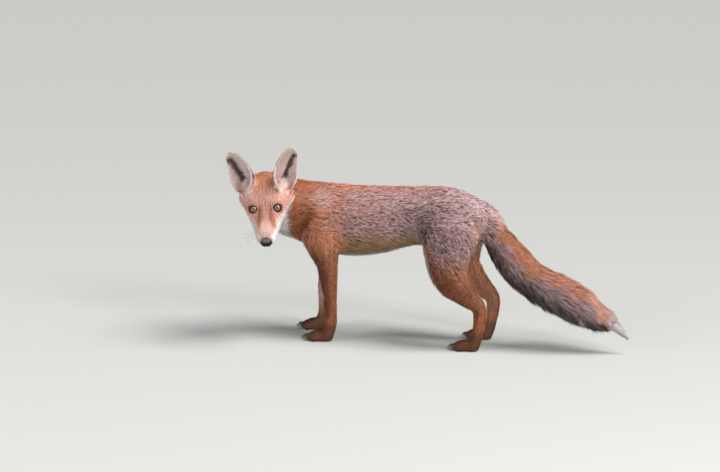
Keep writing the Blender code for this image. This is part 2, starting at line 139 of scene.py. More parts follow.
CAMERA_TURN, CAMERA_RISE, CAMERA_AWAY = math.radians(14.0), math.radians(13.0), 5.942
AIM_SIDE, AIM_UP = -0.1464, 0.2422  # from the point on the floor below the middle of the box
camera = add_object("camera", bpy.data.cameras.new("camera"))
bpy.context.scene.camera = camera
camera.data.sensor_width, camera.data.lens, camera.data.clip_end = 36, 136, 60
to_camera = Vector((math.sin(CAMERA_TURN) * math.cos(CAMERA_RISE),
                    -math.cos(CAMERA_TURN) * math.cos(CAMERA_RISE), math.sin(CAMERA_RISE)))
rightwards = Vector((math.cos(CAMERA_TURN), math.sin(CAMERA_TURN), 0))
aim = (cad_low + cad_high) / 2
aim.z = 0.0
aim += rightwards * AIM_SIDE + to_camera.cross(rightwards) * AIM_UP
camera.location = aim + to_camera * CAMERA_AWAY
look_along(camera, -to_camera)
print("camera looks at", [round(v, 3) for v in aim])

# %% [markdown]
# ## Floor and light
# Fur shows its form by many small highlights and shadows, so the light is broad and soft, with one warmer
# side. A sheet of paper that curves up behind would do for a floor too, but a plain wide floor shows all
# round.


# %% Lay the floor
def fresh_material(name, roughness, specular=0.5):
    finish = bpy.data.materials.new(name)
    finish.use_nodes = True
    shader = finish.node_tree.nodes["Principled BSDF"]
    shader.inputs["Roughness"].default_value = roughness
    shader.inputs["Specular IOR Level"].default_value = specular
    return finish, finish.node_tree, shader


bpy.ops.mesh.primitive_plane_add(size=60, location=(0, 0, 0))
floor = bpy.context.object
floor.name = "floor"
floor_finish, tree, shader = fresh_material("floor_finish", 0.9, 0.0)
shader.inputs["Base Color"].default_value = (0.51, 0.52, 0.50, 1)
floor.data.materials.append(floor_finish)
floor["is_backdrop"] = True
print("floor", floor.dimensions.x, "m wide")

# %% Hang the lights
heart = middle("trunk")
LAMPS = (  # name, place from the middle of the trunk, size, watts, colour
    ("key", (2.3, -1.7, 1.7), 1.0, 46, (1.0, 0.965, 0.96)),
    ("fill", (-2.4, -2.4, 1.5), 1.6, 32, (0.95, 0.97, 1.0)),
    ("front", (0.9, -3.0, 0.35), 1.6, 15, (1.0, 0.97, 0.97)))
for name, place, size, watts, tint in LAMPS:
    data = bpy.data.lights.new(name, "AREA")
    data.shape, data.size, data.energy, data.color = "DISK", size, watts, tint
    lamp = add_object(name, data)
    lamp.location = heart + Vector(place)
    look_along(lamp, heart - lamp.location)
sky = bpy.data.lights.new("high_window", "SUN")
sky.energy, sky.angle, sky.color = 3.5, math.radians(30), (1.0, 0.975, 0.965)
look_along(add_object("high_window", sky), Vector((-0.62, 0.06, -1.0)))
world = bpy.data.worlds.new("studio")
world.use_nodes = True
world.node_tree.nodes["Background"].inputs["Color"].default_value = (0.80, 0.83, 0.86, 1)
world.node_tree.nodes["Background"].inputs["Strength"].default_value = 0.25
bpy.context.scene.world = world
bpy.context.scene.view_settings.view_transform = "Standard"
print("lamps", [lamp[0] for lamp in LAMPS])

# %% [markdown]
# ## One skin over the flesh
# The body form comes in parts, with thin cuts between them. A skin has no seams, so copies of the parts are
# swollen until they meet, joined, and remeshed on a fine grid, which makes one closed surface. Sculpting by
# hand would do it too, but a remesh follows the parts if they ever change. The face gets a finer mesh than
# the rest.


# %% Merge the flesh into one surface
SWELL = 0.00045  # closes the cuts
GRAIN = 0.0024  # the grid of the remesh
flesh = sorted(n for n in nodes if not n.startswith("eye_") and n != "nose")
merged = bmesh.new()
for name in flesh:
    part = bmesh.new()
    part.from_mesh(nodes[name].data)
    bmesh.ops.remove_doubles(part, verts=part.verts, dist=1e-5)
    bmesh.ops.recalc_face_normals(part, faces=part.faces)
    part.normal_update()
    for vertex in part.verts:
        vertex.co += vertex.normal * SWELL
    copy = bpy.data.meshes.new("copy")
    part.to_mesh(copy)
    part.free()
    merged.from_mesh(copy)
    bpy.data.meshes.remove(copy)
skin_mesh = bpy.data.meshes.new("skin")
merged.to_mesh(skin_mesh)
merged.free()
skin = add_object("skin", skin_mesh)


def apply_modifiers(obj):
    graph = bpy.context.evaluated_depsgraph_get()
    done = bpy.data.meshes.new_from_object(obj.evaluated_get(graph))
    old, obj.data = obj.data, done
    bpy.data.meshes.remove(old)
    obj.modifiers.clear()


remesh = skin.modifiers.new("one_surface", "REMESH")
remesh.mode, remesh.voxel_size = "VOXEL", GRAIN
ease = skin.modifiers.new("ease", "SMOOTH")
ease.factor, ease.iterations = 0.5, 3
apply_modifiers(skin)
print("skin before the face is refined:", len(skin.data.polygons), "faces")

# %% Refine the face
fine = bmesh.new()
fine.from_mesh(skin.data)
face_edges = []
for edge in fine.edges:
    spot = in_head((edge.verts[0].co + edge.verts[1].co) / 2)
    if spot[0] > -0.016 and abs(spot[1]) < 0.045 and spot[2] > -0.06:
        face_edges.append(edge)
bmesh.ops.subdivide_edges(fine, edges=face_edges, cuts=1, use_grid_fill=True)
bmesh.ops.triangulate(fine, faces=[f for f in fine.faces if len(f.verts) > 4])
fine.to_mesh(skin.data)
fine.free()
print("skin with a fine face:", len(skin.data.polygons), "faces")

# %% [markdown]
# ## What each point of the skin knows
# The coat will ask the skin many things: which part it belongs to, which way the hair lies, how long it is
# and what colour. Arrays over the skin's points answer all of them. Values are spread between neighbours,
# as paint is blended, so that nothing changes in a hard line at the edge of a part.


# %% Tools for arrays
def read_points(mesh, key):
    out = np.empty(len(mesh.vertices) * 3)
    mesh.vertices.foreach_get(key, out)
    return out.reshape(-1, 3)


def unit(vectors):
    return vectors / np.maximum(np.linalg.norm(vectors, axis=-1, keepdims=True), 1e-9)


def ramp(values, start, end):
    """0 before start and 1 after end, with an eased slope between."""
    t = np.clip((np.asarray(values) - start) / (end - start), 0, 1)
    return t * t * (3 - 2 * t)


def hump(values, centre, width):
    """1 at the centre, falling off on both sides."""
    return np.exp(-((values - centre) / width) ** 2)


def most(*masks):
    """The strongest of some masks at each point."""
    strongest = masks[0]
    for mask in masks[1:]:
        strongest = np.maximum(strongest, mask)
    return strongest


print("ramp from 0 to 1 at a quarter, half and three quarters", ramp((0.25, 0.5, 0.75), 0, 1).round(2))

# %% Spread values over the skin
edges = np.empty(len(skin.data.edges) * 2, np.int32)
skin.data.edges.foreach_get("vertices", edges)
edges = edges.reshape(-1, 2)
COUNT = len(skin.data.vertices)
neighbours = np.bincount(edges.ravel(), minlength=COUNT).astype(float)


def spread(values, rounds):
    """Each value moves to the mean of its neighbours', over and over."""
    values = np.array(values, float)
    flat = values.reshape(COUNT, -1)
    for _ in range(rounds):
        total = np.empty_like(flat)
        for k in range(flat.shape[1]):
            total[:, k] = np.bincount(edges[:, 0], flat[edges[:, 1], k], COUNT)
            total[:, k] += np.bincount(edges[:, 1], flat[edges[:, 0], k], COUNT)
        flat = 0.35 * flat + 0.65 * total / np.maximum(neighbours, 1)[:, None]
    return flat.reshape(values.shape)


print("skin points", COUNT, "edges", len(edges))

# %% Which part each point lies on
outer, facing = read_points(skin.data, "co"), read_points(skin.data, "normal")
head_spot, head_facing = in_head(outer), facing @ HEAD_AXES.T


def tree_of(points):
    tree = KDTree(len(points))
    for index, spot in enumerate(points):
        tree.insert(spot, index)
    tree.balance()
    return tree


def nearest(tree, points):
    return np.array([tree.find(spot)[1] for spot in points])


flesh_points = [vertex.co for name in flesh for vertex in nodes[name].data.vertices]
owner = np.repeat(np.arange(len(flesh)), [len(nodes[name].data.vertices) for name in flesh])
part_of = owner[nearest(tree_of(flesh_points), outer)]


def on(*starts):
    """True on the parts whose names start this way."""
    return np.isin(part_of, [i for i, n in enumerate(flesh) if n.startswith(starts)])


print("points on each part", {n: int((part_of == i).sum()) for i, n in enumerate(flesh)})

# %% [markdown]
# ## The lie of the coat
# Hair grows backwards from the nose, parts round the eyes, sweeps back along the neck and trunk, and runs
# down the legs and out along the brush. Combing it with a brush tool would need hands, so each part gets
# its own direction, and the spreading above blends them. At the end every direction is laid flat on the
# skin.

# %% Comb the body and the legs
lie = np.tile([1.0, 0.0, 0.0], (COUNT, 1))
hip_x = middle("hindleg_left_upper").x
low_side = np.clip(0.35 - facing[:, 2], 0, 1)
body = on("trunk", "hindquarters")
lie[body] = np.stack([np.ones(COUNT), 0 * low_side, -0.42 * low_side], 1)[body]
haunch = body & (outer[:, 0] > hip_x - 0.03)
turning = ramp(outer[:, 0], hip_x - 0.05, hip_x + 0.07)
lie[haunch] += np.stack([-0.45 * turning, 0 * turning, -0.9 * turning * low_side], 1)[haunch]

neck_run = np.array((middle("trunk") - middle("head")).normalized())
lie[on("neck")] = neck_run * (1, 1, 0.6)
lie[on("neck")] += np.outer(np.clip(0.5 - facing[:, 2], 0, 1.2), (0.0, 0.0, -0.55))[on("neck")]
front = ramp(-facing[:, 0], 0.3, 0.8) * ramp(0.31 - outer[:, 2], 0.0, 0.05)
lie += np.outer(front * on("neck", "trunk"), (-0.6, 0.0, -1.3))

for side in ("left", "right"):
    for leg, paw, backwards in (("foreleg", "forepaw", 0.25), ("hindleg", "hindpaw", 0.35)):
        upper, lower, paw = f"{leg}_{side}_upper", f"{leg}_{side}_lower", f"{paw}_{side}"
        down = np.array((middle(lower) - middle(upper)).normalized())
        lie[on(upper)] = down + np.array((backwards, 0, 0))
        lie[on(lower)] = np.array((middle(paw) - middle(lower)).normalized()) * (0.6, 0.3, 1)
        lie[on(paw)] = (-0.8, 0.0, -0.55)

brush = ["tail_root", "tail_middle", "tail_end", "tail_tip"]
droop = np.clip(0.5 - facing[:, 2], 0, 1)
for here, after in zip(brush, brush[1:]):
    run = np.array((middle(after) - middle(here)).normalized())
    lie[on(here)] = (run + np.outer(droop, (0.0, 0.0, -0.55)))[on(here)]
lie[on("tail_tip")] = np.array((middle("tail_tip") - middle("tail_end")).normalized())
print("neck hair runs along", neck_run.round(2))

# %% [markdown]
# ## The lie of the face
# Face hair starts at the nose and runs back over the cheeks. It parts round each eye and turns up towards
# the ears, which are combed from foot to tip. One direction for the whole head would drag the hair across
# the eyes, so the directions are added up from these few flows, in the head's own frame.

# %% Comb the face and the ears
x, y, z = head_spot.T
cheek = ramp(np.abs(y), 0.012, 0.045)
face_lie = np.stack([-np.ones(COUNT), 0.62 * np.sign(y) * cheek * ramp(-x, -0.06, 0.02), -0.34 * cheek], 1)
face_lie += np.outer(ramp(z, 0.004, 0.024) * ramp(np.abs(y), 0.018, 0.036), (0.1, 0.0, 0.9))
for eye in (eye_left, eye_right):
    away = head_spot - in_head(eye)
    near = hump(np.linalg.norm(away, axis=1), 0.010, 0.0055)
    face_lie += unit(away) * (near * 1.1)[:, None]
lie[on("head", "lower_jaw")] = turned_from_head(unit(face_lie))[on("head", "lower_jaw")]
ears = {}
for side in ("left", "right"):
    cup = on("ear_" + side)
    spots = head_spot[cup]
    tip = spots[spots[:, 2].argmax()]
    foot = spots[spots[:, 2] < np.quantile(spots[:, 2], 0.12)].mean(0)
    rise = unit(tip - foot)
    opening = np.array((0.88, 0.30 if side == "left" else -0.30, 0.10))
    opening = unit(opening - rise * (opening @ rise))
    outward = np.cross(rise, opening)
    outward *= np.sign(outward[1]) * (1 if side == "left" else -1)
    ears[side] = (foot, tip, rise, opening, outward)
    hollow = ramp(head_facing[cup] @ opening, -0.05, 0.35)[:, None]
    lie[cup] = turned_from_head(rise + 0.25 * unit(spots - foot) + 0.55 * hollow * outward)

lie = spread(unit(lie), 14)
lie -= facing * (lie * facing).sum(1)[:, None]
lie = unit(lie)
ear_lengths = {side: float(np.linalg.norm(tip - foot)) for side, (foot, tip, *_) in ears.items()}
print("ears", {side: round(length * 1000) for side, length in ear_lengths.items()}, "mm long")

# %% [markdown]
# ## How deep the coat is
# The body form is measured over the fur, so the skin has to lie inside it by the coat's depth. The brush is
# nearly all hair round a thin tail, while an ear has hardly any. Pushing the points inwards along eased
# normals keeps the skin from folding over itself where two parts meet.

# %% Set the depth of the coat
DEPTHS = {
    "trunk": 0.0095, "hindquarters": 0.0095, "neck": 0.0110, "lower_jaw": 0.0025, "ear_": 0.0005,
    "foreleg_left_upper": 0.0055, "foreleg_right_upper": 0.0055, "foreleg_left_lower": 0.0030,
    "foreleg_right_lower": 0.0030, "forepaw": 0.0018, "hindleg_left_upper": 0.0070,
    "hindleg_right_upper": 0.0070, "hindleg_left_lower": 0.0032, "hindleg_right_lower": 0.0032,
    "hindpaw": 0.0018, "tail_root": 0.0170, "tail_middle": 0.0240, "tail_end": 0.0225, "tail_tip": 0.0060}
depth = np.zeros(COUNT)
for start, value in DEPTHS.items():
    depth[on(start)] = value
jowl = ramp(-x, 0.0, 0.045) * ramp(np.abs(y), 0.02, 0.045) * ramp(-z, -0.012, 0.012)
head_depth = 0.0040 + 0.0055 * jowl - 0.0020 * ramp(x, 0.005, 0.035) + 0.006 * ramp(-x, 0.050, 0.085)
depth = np.where(on("head"), head_depth, depth)
eye_gap = np.full(COUNT, 1.0)
for eye in (eye_left, eye_right):
    eye_gap = np.minimum(eye_gap, np.linalg.norm(outer - np.array(eye), axis=1))
depth *= 1 - 0.65 * hump(eye_gap, EYE_RADIUS, 0.006)
depth = spread(depth, 40)
depth = np.where(on("ear_"), np.minimum(depth, 0.0011), depth)
tip_low, tip_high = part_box("tail_tip")
tip_axis = unit(np.array((tip_high.x - tip_low.x, 0, tip_low.z - tip_high.z)))
from_tip_end = outer - np.array((tip_high.x, middle("tail_tip").y, tip_low.z))
tip_radius = np.linalg.norm(from_tip_end - np.outer(from_tip_end @ tip_axis, tip_axis), axis=1)
depth = np.where(on("tail_tip"), np.minimum(depth, 0.30 * tip_radius), depth)
depth = spread(depth, 3)
print("coat depth", (depth.min() * 1000).round(1), "to", (depth.max() * 1000).round(1), "mm")

# %% Press the skin inwards
LEAST_HEIGHT = 0.0022  # the soles keep this far off the floor
eased_facing = unit(spread(facing, 10))
inner = outer - eased_facing * depth[:, None]
inner = np.where(on("tail_root", "tail_middle", "tail_end")[:, None], spread(inner, 12), inner)
inner[:, 2] = np.maximum(inner[:, 2], LEAST_HEIGHT)
print("lowest point of the skin", (inner[:, 2].min() * 1000).round(1), "mm up")

# %% [markdown]
# ## Folds of the mouth
# The closed mouth is a groove that runs round the muzzle under the nose, with dark lips in it. A Boolean
# cut would leave a hard edge, so the points near the line are pressed in a little instead. The same line
# later keeps the hair off the lips.

# %% Press in the mouth
jaw = head_spot[on("lower_jaw")]
MOUTH_LEVEL = float(np.quantile(jaw[:, 2], 0.97))
MOUTH_CORNER = float(np.quantile(jaw[:, 0], 0.04))
mouth_line = hump(z, MOUTH_LEVEL, 0.0016) * ramp(x, MOUTH_CORNER - 0.004, MOUTH_CORNER + 0.006)
mouth_line *= on("head", "lower_jaw")
inner -= facing * (mouth_line * 0.0013)[:, None]
print("mouth", round(-MOUTH_LEVEL * 1000, 1), "mm under the eyes")

# %% [markdown]
# ## Markings
# The same markings colour the skin and the coat. Each is a mask from 0 to 1 over the skin, made from where
# a point lies on the animal: rust red is the ground colour, and over it lie the grizzled flanks, the ochre
# and white undersides, and the dark ears and toes. Painting an image by hand would fix it to one mesh,
# while masks made by rule carry over to every hair.


# %% A field to break the edges of the markings
def waver(points, size, seed):
    """A smooth random field between -1 and 1, whose patches are about as wide as size."""
    dice = np.random.default_rng(seed)
    total = np.zeros(len(points))
    for _ in range(7):
        direction = unit(dice.normal(size=3)) * dice.uniform(0.7, 1.5) * math.pi / size
        total += np.sin(points @ direction + dice.uniform(0, 2 * math.pi))
    return np.clip(total / 3.2, -1, 1)


patchy = waver(outer, 0.022, 3)
px, py, pz = outer.T
nx, ny, nz = facing.T
print("patches", patchy.min().round(2), "to", patchy.max().round(2))

# %% [markdown]
# ## Trunk and neck
# A fox's guard hairs are banded grey and white over the flanks and the rump. The neck and shoulders are
# red, the belly is ochre and pale, and a white bib runs from the chin down the throat. A speckled texture
# could imitate the grizzle, but here a mask only says how likely a grizzled lock is, so the mix comes from
# whole locks, as in life.

# %% Grizzle the back and the flanks
belly_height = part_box("trunk")[0].z
shoulder_x = middle("foreleg_left_upper").x
midline = middle("trunk").y
upper_forelegs = on("foreleg_left_upper", "foreleg_right_upper")
upper_hindlegs = on("hindleg_left_upper", "hindleg_right_upper")
torso = body | on("neck", "tail_root") | upper_forelegs | upper_hindlegs
inside_leg = ramp(np.sign(py - midline) * -ny, 0.45, 0.85)
grizzled = ramp(px + 0.016 * patchy, shoulder_x - 0.055, shoulder_x + 0.085)
grizzled *= 0.72 + 0.28 * ramp(px, shoulder_x + 0.06, hip_x)
low_flank = ramp(pz + 0.006 * patchy, belly_height + 0.046, belly_height + 0.080)
grizzled *= np.clip(low_flank + ramp(px, hip_x - 0.07, hip_x - 0.02), 0, 1)
grizzled *= ramp(pz + 0.012 * patchy, 0.150, 0.245)
topline = ramp(nz, 0.70, 0.97) * (1 - ramp(px, hip_x - 0.10, hip_x + 0.03))
grizzled *= (1 - 0.55 * topline) * torso
grizzled *= 1 - 0.9 * inside_leg * on("hindleg")
# The grizzled flanks where they face sideways; below, they are darkened as painted shade.
flank_shade = grizzled * (1 - ramp(nz, 0.15, 0.60))
print("grizzled", int((grizzled > 0.5).sum()), "points")

# %% Shade the trunk
bloom = hump(px, shoulder_x - 0.010, 0.032) * hump(pz, 0.320, 0.022) * torso
pinkish = 0.58 * ramp(nz + 0.1 * patchy, 0.30, 0.85) * ramp(px, shoulder_x - 0.02, shoulder_x + 0.13) * torso
pinkish = most(pinkish, 0.85 * bloom)
ochre = ramp(px, shoulder_x + 0.02, shoulder_x + 0.07) * (1 - ramp(px, hip_x - 0.06, hip_x)) * body
ochre *= 1 - ramp(pz, belly_height + 0.058, belly_height + 0.088)
pale = 0.9 * ramp(-nz, 0.66, 0.95) * (1 - ramp(pz, belly_height + 0.028, belly_height + 0.045)) * body
# Painted light: the rump is made paler where it faces up.
lit_rump_top = ramp(nz, 0.35, 0.80) * ramp(px, hip_x - 0.05, hip_x + 0.01) * body
pale = most(pale, 0.20 * lit_rump_top, 0.30 * bloom)
# The darkening below is painted shade in the hollow before the haunch, over the shoulders and on the sides;
# on the low belly it is partly darker hair and partly painted shade.
underside_dark_and_shade = ramp(-nz, -0.1, 0.6) * (1 - ramp(pz, belly_height + 0.020, belly_height + 0.060)) * body
loin_shade = hump(px, hip_x - 0.070, 0.040) * hump(pz, 0.265, 0.045) * body
shoulder_shade = hump(px, shoulder_x, 0.035) * hump(pz, 0.272, 0.032) * (on("trunk") | upper_forelegs)
dark = 0.15 * flank_shade + 0.25 * underside_dark_and_shade + 0.34 * loin_shade + 0.16 * shoulder_shade
print("belly at", round(belly_height * 1000, 1), "mm")

# %% Mark the bib and the neck
throat_height = middle("lower_jaw").z
bib_edge = middle("neck").x + 0.002 + 1.1 * np.clip(throat_height - 0.010 - pz, 0, 1)
bib = ramp(bib_edge - px + 0.004 * patchy, -0.004, 0.008) * on("neck", "trunk")
bib_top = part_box("neck")[1].z - 0.045 - 0.042 * ramp(ny + 0.15 * patchy, 0.0, 0.7)
bib *= 1 - ramp(pz - bib_top, -0.012, 0.012)
pale = most(pale, bib)
# Painted shade: the bib below the throat is greyed with dark for the shade under the head.
dark = most(dark, 0.34 * bib * ramp(throat_height - pz, -0.02, 0.02))
# Painted shade: the neck is darkened a little, and more low down under the head.
dark = most(dark, (0.03 + 0.18 * ramp(0.315 - pz, 0.0, 0.03)) * on("neck"))
rust_coat = 0.85 * on("neck") * (1 - bib)
print("bib edge at", round(float(bib_edge.min()), 3))

# %% [markdown]
# ## Legs and brush
# The legs are red outside and paler inside, and they darken towards the toes. The brush is red above, grey
# and black below, and ends in a pale tip. Part of the dark on the low fronts of the legs, under the brush
# and on its tip is painted shade. Bands set by height alone would cut straight across, so the masks also
# follow the way that the surface faces.

# %% Mark the legs
forelegs, hindlegs, paws = on("foreleg"), on("hindleg"), on("forepaw", "hindpaw")
legs, far_hindleg, outside_leg = forelegs | hindlegs, on("hindleg_right"), 1 - inside_leg
# Painted light: the far hind leg's inside gets much less pale and pink than the near one's, which leaves it
# the orange of sunlit fur.
pale = most(pale, (0.16 - 0.12 * far_hindleg) * inside_leg * legs * ramp(pz, 0.05, 0.10))
pinkish = most(pinkish, (0.90 - 0.70 * far_hindleg) * inside_leg * legs)
front_of_leg = hindlegs * ramp(-nx, 0.55, 0.90) * 0.62 + forelegs * ramp(-nx, 0.72, 0.95) * 0.50
pale = most(pale, front_of_leg * (1 - ramp(pz, belly_height + 0.02, belly_height + 0.05)))
seat = ramp(nx, 0.35, 0.80) * ramp(pz, 0.17, 0.21) * ramp(px, hip_x, hip_x + 0.03)
seat *= on("hindquarters") | upper_hindlegs
pale = most(pale, 0.22 * seat)
ochre = most(ochre, 0.65 * seat, 0.14 * on("tail_root"))
grizzled *= 1 - 0.55 * seat
leg_rust = (legs | paws) * outside_leg * (1 - front_of_leg) * ramp(0.255 - pz + 0.02 * patchy, 0.0, 0.06)
# The rust deepens where the legs face forwards: partly the legs' own darker rust, partly painted shade.
rust_coat = most(rust_coat, leg_rust * (0.60 + 0.35 * ramp(-nx, -0.6, 0.4)))
# Painted shade on the low fronts of the legs; the forelegs also darken below the body, partly for darker hair
# and partly as painted shade.
leg_front_shade = 0.36 * ramp(-nx + 0.2 * patchy, -0.4, 0.5) * ramp(0.22 - pz, 0.0, 0.04)
dark = most(dark, (leg_front_shade + 0.18 * forelegs * ramp(0.235 - pz, 0.0, 0.05)) * legs * outside_leg)
# A dark band round the shank: partly its darker rust, partly painted shade; it is weaker on the far hind leg,
# as painted light.
dark = most(dark, 0.38 * hump(pz, 0.140, 0.038) * (hindlegs - 0.6 * far_hindleg) * outside_leg)
stocking = 0.55 * on("foreleg_left_lower", "foreleg_right_lower") * (1 - ramp(pz, 0.035, 0.085))
dark = most(dark, 0.62 * paws * (1 - ramp(pz, 0.030, 0.060)), stocking)
print("legs", int(legs.sum()), "points, paws", int(paws.sum()))

# %% Mark the brush
brush_mask = on("tail_root", "tail_middle", "tail_end")
brush_side = 1 - ramp(nz + 0.10 * patchy + 0.24 * on("tail_root") + 0.05 * on("tail_middle"), 0.30, 0.68)
brush_end = ramp(px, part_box("tail_end")[1].x - 0.095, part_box("tail_end")[1].x - 0.020)
grizzled = np.where(brush_mask, brush_side * (1 - 0.35 * brush_end), grizzled)
pinkish = np.where(brush_mask, 0.20 - 0.14 * on("tail_root") + 0.45 * brush_end, pinkish)
rust_coat = np.where(brush_mask, 0.80 * (1 - 0.5 * brush_end), rust_coat)
# The brush darkens on its sides and most of all underneath: partly its grey and black hair, partly painted
# shade.
dark = most(dark, brush_mask * (0.21 + 0.36 * brush_side + 0.60 * ramp(-nz + 0.1 * patchy, -0.20, 0.50)))
pale = most(pale, 0.92 * on("tail_tip"))
# Painted shade: the white tip is greyed with dark, as if in shade.
dark = np.where(on("tail_tip"), 0.42, dark)
print("brush", int(brush_mask.sum()), "points, white tip", int(on("tail_tip").sum()))

# %% [markdown]
# ## Face
# White runs along the lips and the cheeks, pinkish red covers the forehead, and a darker red streak leads
# from each eye towards the nose. A stencil laid on from the front would smear along the sides of the
# muzzle, so all of them are placed in the head's own directions, and they stay right however the head is
# turned.

# %% Mark the white of the face
face_part = on("head", "lower_jaw")
side_y = np.abs(y)
white_edge = -0.0082 + 0.0010 * (y > 0) - 0.0125 * ramp(x, 0.0, 0.058) + 0.0015 * waver(outer, 0.008, 5)
white_edge -= 0.0120 * (1 - ramp(x, -0.045, -0.005))
face_white = ramp(white_edge - z, -0.0085, 0.0050) * ramp(side_y, 0.010, 0.018)
face_white = most(face_white, ramp(-0.030 - z, 0.0, 0.004))
off_face = ramp(side_y + 0.012 * ramp(-z, 0.028, 0.050), 0.042, 0.050) * ramp(-z, 0.018, 0.030) * face_part
face_white *= 1 - off_face
lip_edge = 0.0118 + 0.0060 * ramp(0.066 - x, 0.0, 0.014)
lip_white = ramp(x, 0.050, 0.057) * ramp(side_y - lip_edge, -0.0015, 0.0020)
face_white = most(face_white, lip_white) * ramp(x + 0.5 * np.clip(-z, 0, 1), -0.050, -0.022)
print("white of the face", int((face_part & (face_white > 0.5)).sum()), "points")

# %% Mark the red and pink of the face
bridge = ramp(x, 0.020, 0.036) * (1 - ramp(side_y, 0.009, 0.0150))
brow = hump(x, -0.016, 0.011) * hump(side_y, 0.034, 0.014)
streak_y = 0.0120 + 0.0040 * ramp(x, 0.014, 0.046)
streak_width = 0.0050 + 0.0022 * hump(x, 0.025, 0.010)
rust = hump(side_y + 0.0012 * patchy, streak_y, streak_width) * face_part
rust *= ramp(x, -0.002, 0.008) * (1 - ramp(x + 0.004 * patchy, 0.031, 0.050))
pale = np.where(face_part, np.clip(face_white + 0.34 * bridge + 0.28 * brow, 0, 1), pale)
pale *= 1 - 0.95 * rust
# Painted light: the streak on the fox's left side gets less rust, as if lit.
rust_coat = np.where(face_part, most((0.72 - 0.12 * (y > 0)) * rust, 0.75 * off_face), rust_coat)
pink_face = ramp(x + 0.30 * side_y, -0.036, -0.006) * (1 - 0.85 * face_white) * (1 - rust) * (1 - off_face)
pinkish = np.where(face_part, 0.9 * pink_face, pinkish)
print("red streaks", int((rust > 0.5).sum()), "points")

# %% Mark the brow lines, tear lines and lips
furrows = ramp(np.sin(y * 1150 + 1.5 * waver(outer, 0.010, 8)), 0.30, 0.85)
furrows *= hump(y, 0.0, 0.015) * ramp(x, -0.045, -0.03) * (1 - ramp(x, 0.004, 0.018))
tear_line = hump(side_y, 0.0165 - 0.16 * np.clip(x, 0, 0.03), 0.0016)
tear_line *= ramp(x, 0.004, 0.009) * (1 - ramp(x, 0.012, 0.022)) * (z > -0.03)
near_nose = hump(x, 0.067, 0.008) * (1 - ramp(side_y, 0.006, 0.012)) * ramp(z, -0.024, -0.018)
whisker_spots = ramp(np.sin(x * 900) * np.sin(z * 1100 + 0.6), 0.35, 0.8)
whisker_spots *= ramp(x, 0.040, 0.046) * (1 - ramp(x, 0.060, 0.064)) * ramp(side_y, 0.012, 0.015)
face_dark = 0.58 * furrows + 0.50 * tear_line + 0.20 * near_nose + 0.18 * whisker_spots
# Painted shade: the streak on the fox's right side is darkened.
face_dark += 0.12 * rust * (y < 0) + 0.10 * off_face
dark = np.where(face_part, np.clip(face_dark, 0, 1), dark)
dark = most(dark, mouth_line)
print("furrows", int((face_part & (furrows > 0.5)).sum()), "points")

# %% Ring the eyes
EYE_CORNERS = (  # turn from the level, distance from the eye's middle, length, width
    (0.48, 0.0110, 0.0030, 0.0016), (math.pi + 0.60, 0.0100, 0.0026, 0.0018))
eye_ring = 0.85 * hump(eye_gap, EYE_RADIUS, 0.0017) * face_part
for eye, hand in ((eye_left, 1), (eye_right, -1)):
    beside = (head_spot - in_head(eye))[:, 1:] * (hand, 1)
    for turn, reach, long, wide in EYE_CORNERS:
        along_line = beside @ (math.cos(turn), math.sin(turn))
        aside = beside @ (-math.sin(turn), math.cos(turn))
        corner = hump(along_line, reach, long) * hump(aside, 0, wide) * (1 - ramp(eye_gap, 0.0125, 0.0150))
        eye_ring = most(eye_ring, 0.55 * corner * face_part)
print("eye rings", int((eye_ring > 0.5).sum()), "points")

# %% [markdown]
# ## Ears
# An ear is a cup: black outside and pale inside, with a dark slit where the hollow is deep and bare. The slit
# is darkened partly as painted shade of the deep fold, and the pale lining and rim are partly painted light,
# for the light that shines through and along the ear. Both ears could be painted by hand, but a rule does the
# two alike: the hollow side is found from the way that the surface faces, so the colours part along the rim.

# %% Find the hollows of the ears
CUP_HALF_WIDTH = 0.024
in_cup, inside_ear, ear_height, ear_across = np.zeros((4, COUNT))
for side, (foot, tip, rise, opening, outward) in ears.items():
    beside = head_spot - foot
    up_ear, out_ear, fore_ear = beside @ rise, beside @ outward, beside @ opening
    floor_of_cup = face_part * (1 - ramp(np.abs(out_ear + 0.006), 0.014, 0.021))
    floor_of_cup *= ramp(up_ear, -0.006, -0.002)
    floor_of_cup *= ramp(fore_ear, -0.016, -0.012) * (1 - ramp(fore_ear, 0.008, 0.014))
    deep = face_part * ramp(head_facing @ opening, 0.0, 0.3) * ramp(up_ear, -0.002, 0.003)
    deep *= 1 - ramp(np.abs(out_ear + 0.004), 0.015, 0.019)
    deep *= ramp(fore_ear, -0.034, -0.028) * (1 - ramp(fore_ear, 0.004, 0.010))
    floor_of_cup = most(floor_of_cup, deep)
    in_cup = most(in_cup, floor_of_cup)
    cup = on("ear_" + side) | (floor_of_cup > 0.02)
    height = up_ear / ((tip - foot) @ rise)
    from_middle = np.clip((out_ear / CUP_HALF_WIDTH + 0.34 - 0.90 * height) * 2.5, -1, 1)
    inwards = head_facing @ opening - 0.55 * from_middle * (head_facing @ outward)
    inside_ear = np.where(cup, most(ramp(inwards, 0.05, 0.40) * on("ear_" + side), floor_of_cup), inside_ear)
    ear_height = np.where(cup, height, ear_height)
    ear_across = np.where(cup, out_ear / CUP_HALF_WIDTH, ear_across)
print("ear hollows", int((inside_ear > 0.5).sum()), "points")

# %% Mark the ears
ear_part = on("ear_")
ear_rim = ear_part * hump(spread(inside_ear, 5), 0.5, 0.36) * ramp(ear_height, -0.12, 0.05)
ear_back = ear_part * ramp(0.5 - inside_ear, -0.10, 0.25)
slit_middle = -0.34 + 0.90 * ear_height
